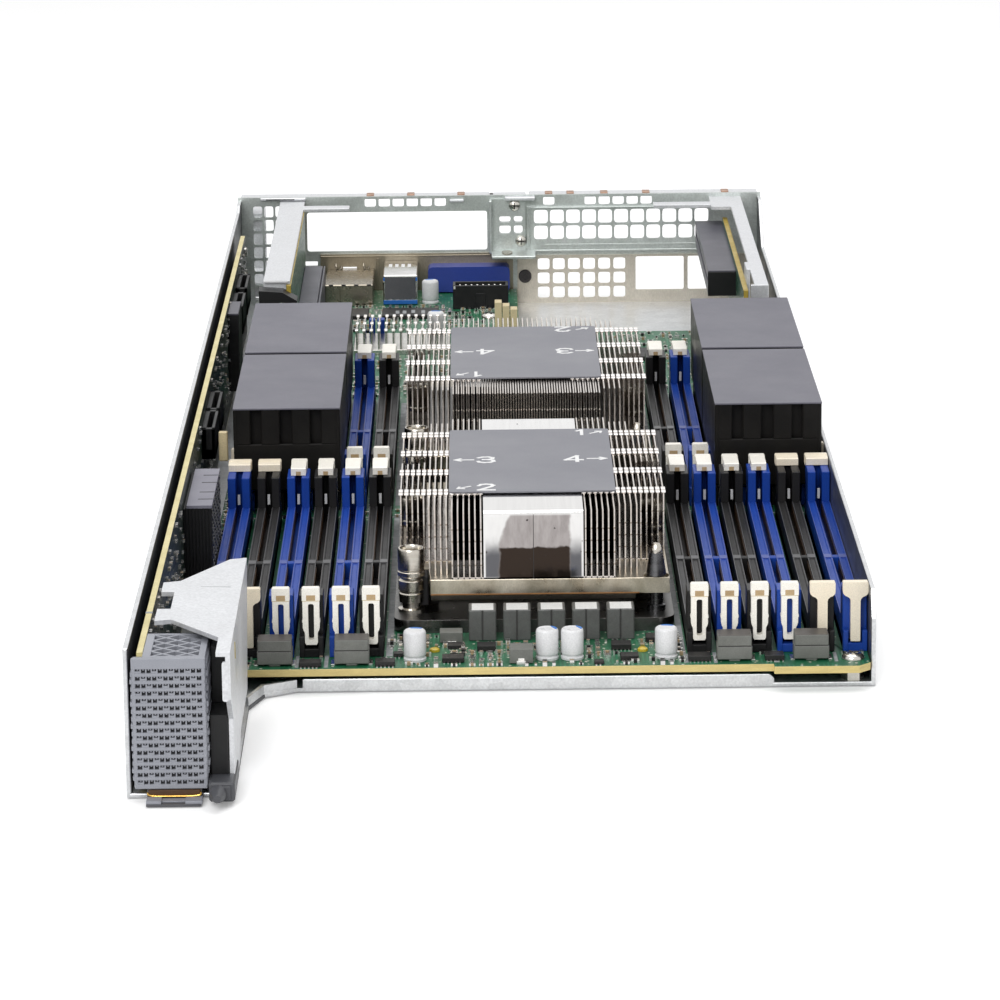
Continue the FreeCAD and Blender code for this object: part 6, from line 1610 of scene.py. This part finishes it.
piece("video_port_shell", [
    ("video_blue", prisms(rounded(66.7, 7.0, 95.4, 15.9, 1.6)[:, ::-1], 472.0, 480.7, "y")),
    ("port_metal", slabs((66.9, 480.3, 7.2, 95.2, 480.9, 15.7), 0.1)),
    ("port_metal", prisms((slant + middle)[:, ::-1], 480.4, 486.6, "y")),
    ("video_blue", prisms((slant * 0.9 + middle)[:, ::-1], 486.5, 486.7, "y")),
    # Painted shade: dark boxes for the pin holes.
    ("dark_parts_and_recess_shade", boxes(stack(px - 0.35, 486.6, pz - 0.35), stack(px + 0.35, 486.78, pz + 0.35))),
    ("screw_steel", turned(hexes, [(68.705, 0.0, video_z), (93.695, 0.0, video_z)], 6, "y")),
], replaces=["video_port"])

# %% [markdown]
# In front of the ports stand a shrouded pin header, a row of flat chips, a long lilac card socket and, behind the
# left memory bank, a small finned cooler. A dark guide hangs under the front end of the left riser bar.

# %% Parts of the rear board
shroud = [
    (75.5, 444.4, 6.5, 94.7, 445.3, 14.8), (75.5, 451.3, 6.5, 94.7, 452.2, 14.8),
    (75.5, 444.6, 6.5, 76.5, 452.0, 14.8), (93.7, 444.6, 6.5, 94.7, 452.0, 14.8),
    (75.6, 444.5, 6.5, 94.6, 452.1, 9.0), (83.4, 444.2, 6.6, 86.8, 444.6, 12.0),
]
gx, gy = grid(78.0 + 2.0 * np.arange(8), (447.0, 449.4))
pins = stack(gx - 0.32, gy - 0.32, 8.8, gx + 0.32, gy + 0.32, 14.2)
piece("header_block_shrouded", [
    ("header_black", slabs(shroud, 0.2)), ("solder_tin", slabs(pins, 0.1)),
    ("comb_white", slabs([(75.7, 444.3, 13.6, 76.4, 444.5, 14.6)], 0.05)),
], replaces=["header_block"])
flat = np.array([
    (40.0, 428.0, 46.5, 441.0), (51.2, 428.0, 70.6, 441.0), (63.6, 20.8, 68.2, 25.2), (126.4, 20.8, 131.0, 25.2),
    (104.0, 330.0, 118.0, 344.0), (128.0, 358.0, 142.0, 372.0), (36.0, 330.0, 42.0, 338.0),
])
spots = np.array([(55.8, 431.0), (58.2, 431.0), (61.2, 432.0), (64.6, 431.0)])
piece("board_chips_flat", [
    ("chip_black", blocks(ground(flat[:, :2], 6.55), ground(flat[:, 2:], 8.0), 0.15)),
    ("grey_ink_and_crease_shade", blocks(ground(spots, 7.98), ground(spots + (1.3, 5.0), 8.03), 0.02)),
], replaces=["board_chips"])
sides = [
    (24.1, 393.0, 14.3, 30.3, 456.0, 20.0), (30.6, 393.0, 14.3, 31.2, 456.0, 20.0),
    (24.2, 393.2, 6.5, 31.1, 455.8, 18.6),
]
piece("expansion_socket_long", [
    ("slot_lilac", slabs(sides, 0.2)),
    ("header_black", slabs([(24.1, 392.6, 14.3, 31.4, 393.2, 19.0)], 0.1)),
], replaces=["expansion_socket"])
fx = 43.6 + 2.43 * np.arange(13)
cooler = stack(fx, 372.0, 7.0, fx + 0.5, 398.0, 14.4)
# The caps on the cooler fins use the lighter tab metal, a painted highlight.
caps = np.concatenate([stack(fx - 0.3, y, 14.3, fx + 0.8, y + 2.6, 14.8) for y in (372.0, 383.0, 395.0)])
piece("small_cooler", [
    ("screw_steel", slabs(np.concatenate([cooler, [(42.8, 371.6, 6.5, 74.0, 398.4, 8.2)]]), 0.1)),
    ("tab_metal_painted_highlight", slabs(caps, 0.1)),
    ("socket_blue", slabs([(47.4, 400.0, 6.5, 49.4, 404.0, 12.4), (50.2, 400.0, 6.5, 52.6, 404.0, 12.4)], 0.2)),
])
guide = np.array([(13.8, 36.9), (21.4, 36.3), (26.0, 33.6), (26.1, 32.7), (20.5, 33.0), (14.0, 30.6)])
piece("bar_guide", [
    ("header_black", prisms(guide[:, ::-1], 330.5, 338.0, "y")),
    ("comb_white", slabs([(15.4, 337.0, 38.0, 22.8, 338.4, 38.75)], 0.2)),
])

# %% [markdown]
# The bracket over the plug end is pressed from thin sheet and has small marks: a turned-up tongue at the front, a
# pressed line across the top, drawn as a thin grey bar of painted shade, a yellow strip on the flange. The plastic
# foot of the guide peg closes the flange below. Beside it the lip of the tray follows the slanted edge, two knobs
# hold the far end of the adapter board, and the socket of the right riser card shows its dark mouth.

# %% Details of the plug end
tongue = rounded(23.6, 25.6, 25.1, 35.2, 0.6)
pressed = np.array([[(15.6, -33.6), (22.9, -34.35), (22.9, -34.15), (15.6, -33.4)]])
piece("plug_end_details", [
    ("bracket_white", prisms(tongue[:, ::-1], -92.2, -91.3, "y")),
    # Painted shade: the pressed line as a thin grey bar.
    ("grey_ink_and_crease_shade", bars(pressed, 37.5, 37.63)),
    ("lens_yellow", slabs((25.5, -72.0, 30.2, 25.72, -71.1, 34.2), 0.05)),
    ("grey_ink_and_crease_shade", slabs((2.95, -48.2, 34.9, 4.65, -46.8, 35.06), 0.02)),
    ("peg_grey", slabs([(19.8, -91.6, 0.9, 25.9, -72.0, 5.6), (21.2, -92.2, 1.6, 24.9, -91.4, 4.9)], 0.5)),
])
lip = np.array([(25.5, -13.8), (28.95, -3.25), (37.1, 1.4), (36.6, 2.25), (28.15, -2.55), (24.7, -13.5)])
piece("tray_lip_curved", [("galvanised", prisms(lip, 0.3, 3.3))])
knob = [(1.7, 4.5), (1.7, 5.2), (1.4, 5.5), (0.9, 5.5), (0.9, 5.1), (0.05, 5.1)]
places = [(0.0, 428.0, 30.6), (0.0, 428.0, 23.0)]
piece("adapter_knobs", [("standoff_brass", turned(knob, places, 24, "x"))], smooth=35)
piece("riser_slot_mouth", [("header_black", slabs([(160.5, 379.6, 23.5, 169.9, 380.2, 31.6)], 0.15))])

# %% [markdown]
# The other solid parts keep their own meshes. They come as loose triangles, so each is welded and gets fine
# rounded edges that catch the light, and then the finish of its slot.

# %% Finishes on the solid parts that stay
SLOT_FINISH = {"handle_dark": "bracket_white"}
ROUNDED = {"tray": 0.3, "adapter_bracket": 0.35, "heatsink_bases": 0.3, "bolster_plates": 0.4}
slots = {row["node"]: row["material_slot"] for row in frame["record"]["subparts"]}
for node, item in frame["nodes"].items():
    if item.hide_render:
        continue
    name = "tray_zinc" if node == "tray" else SLOT_FINISH.get(slots[node], slots[node])
    item.data.materials.clear()
    item.data.materials.append(FINISH[name])
    weld = item.modifiers.new("Weld", "WELD")
    weld.merge_threshold = 1e-6
    soften(item, ROUNDED.get(node, 0.2), 35)
print(sum(not item.hide_render for item in frame["nodes"].values()), "solid parts keep their meshes")

# %% [markdown]
# The floor is a wide pale sheet just under the tray. It glows a little for the camera alone, which lifts it to
# the white of the surround, while the soft shadow of the sled stays.

# %% Floor
FLOOR_LEVEL, FLOOR_GLOW = -0.0003, 0.22
floor_mesh = bpy.data.meshes.new("floor")
corners = [(x, y, FLOOR_LEVEL) for x, y in ((-6, -6), (6, -6), (6, 8), (-6, 8))]
floor_mesh.from_pydata(corners, [], [(0, 1, 2, 3)])
floor = bpy.data.objects.new("floor", floor_mesh)
scene.collection.objects.link(floor)
tree, shader, place = start_finish("floor_white")
glow = times(tree, add(tree, "LightPath").outputs["Is Camera Ray"], FLOOR_GLOW)
give(
    tree, shader, Base_Color=(0.93, 0.93, 0.93), Roughness=0.8, Specular_IOR_Level=0.1, Emission_Color=(1, 1, 1),
    Emission_Strength=glow,
)
floor_mesh.materials.append(FINISH["floor_white"])
print("floor at", FLOOR_LEVEL)
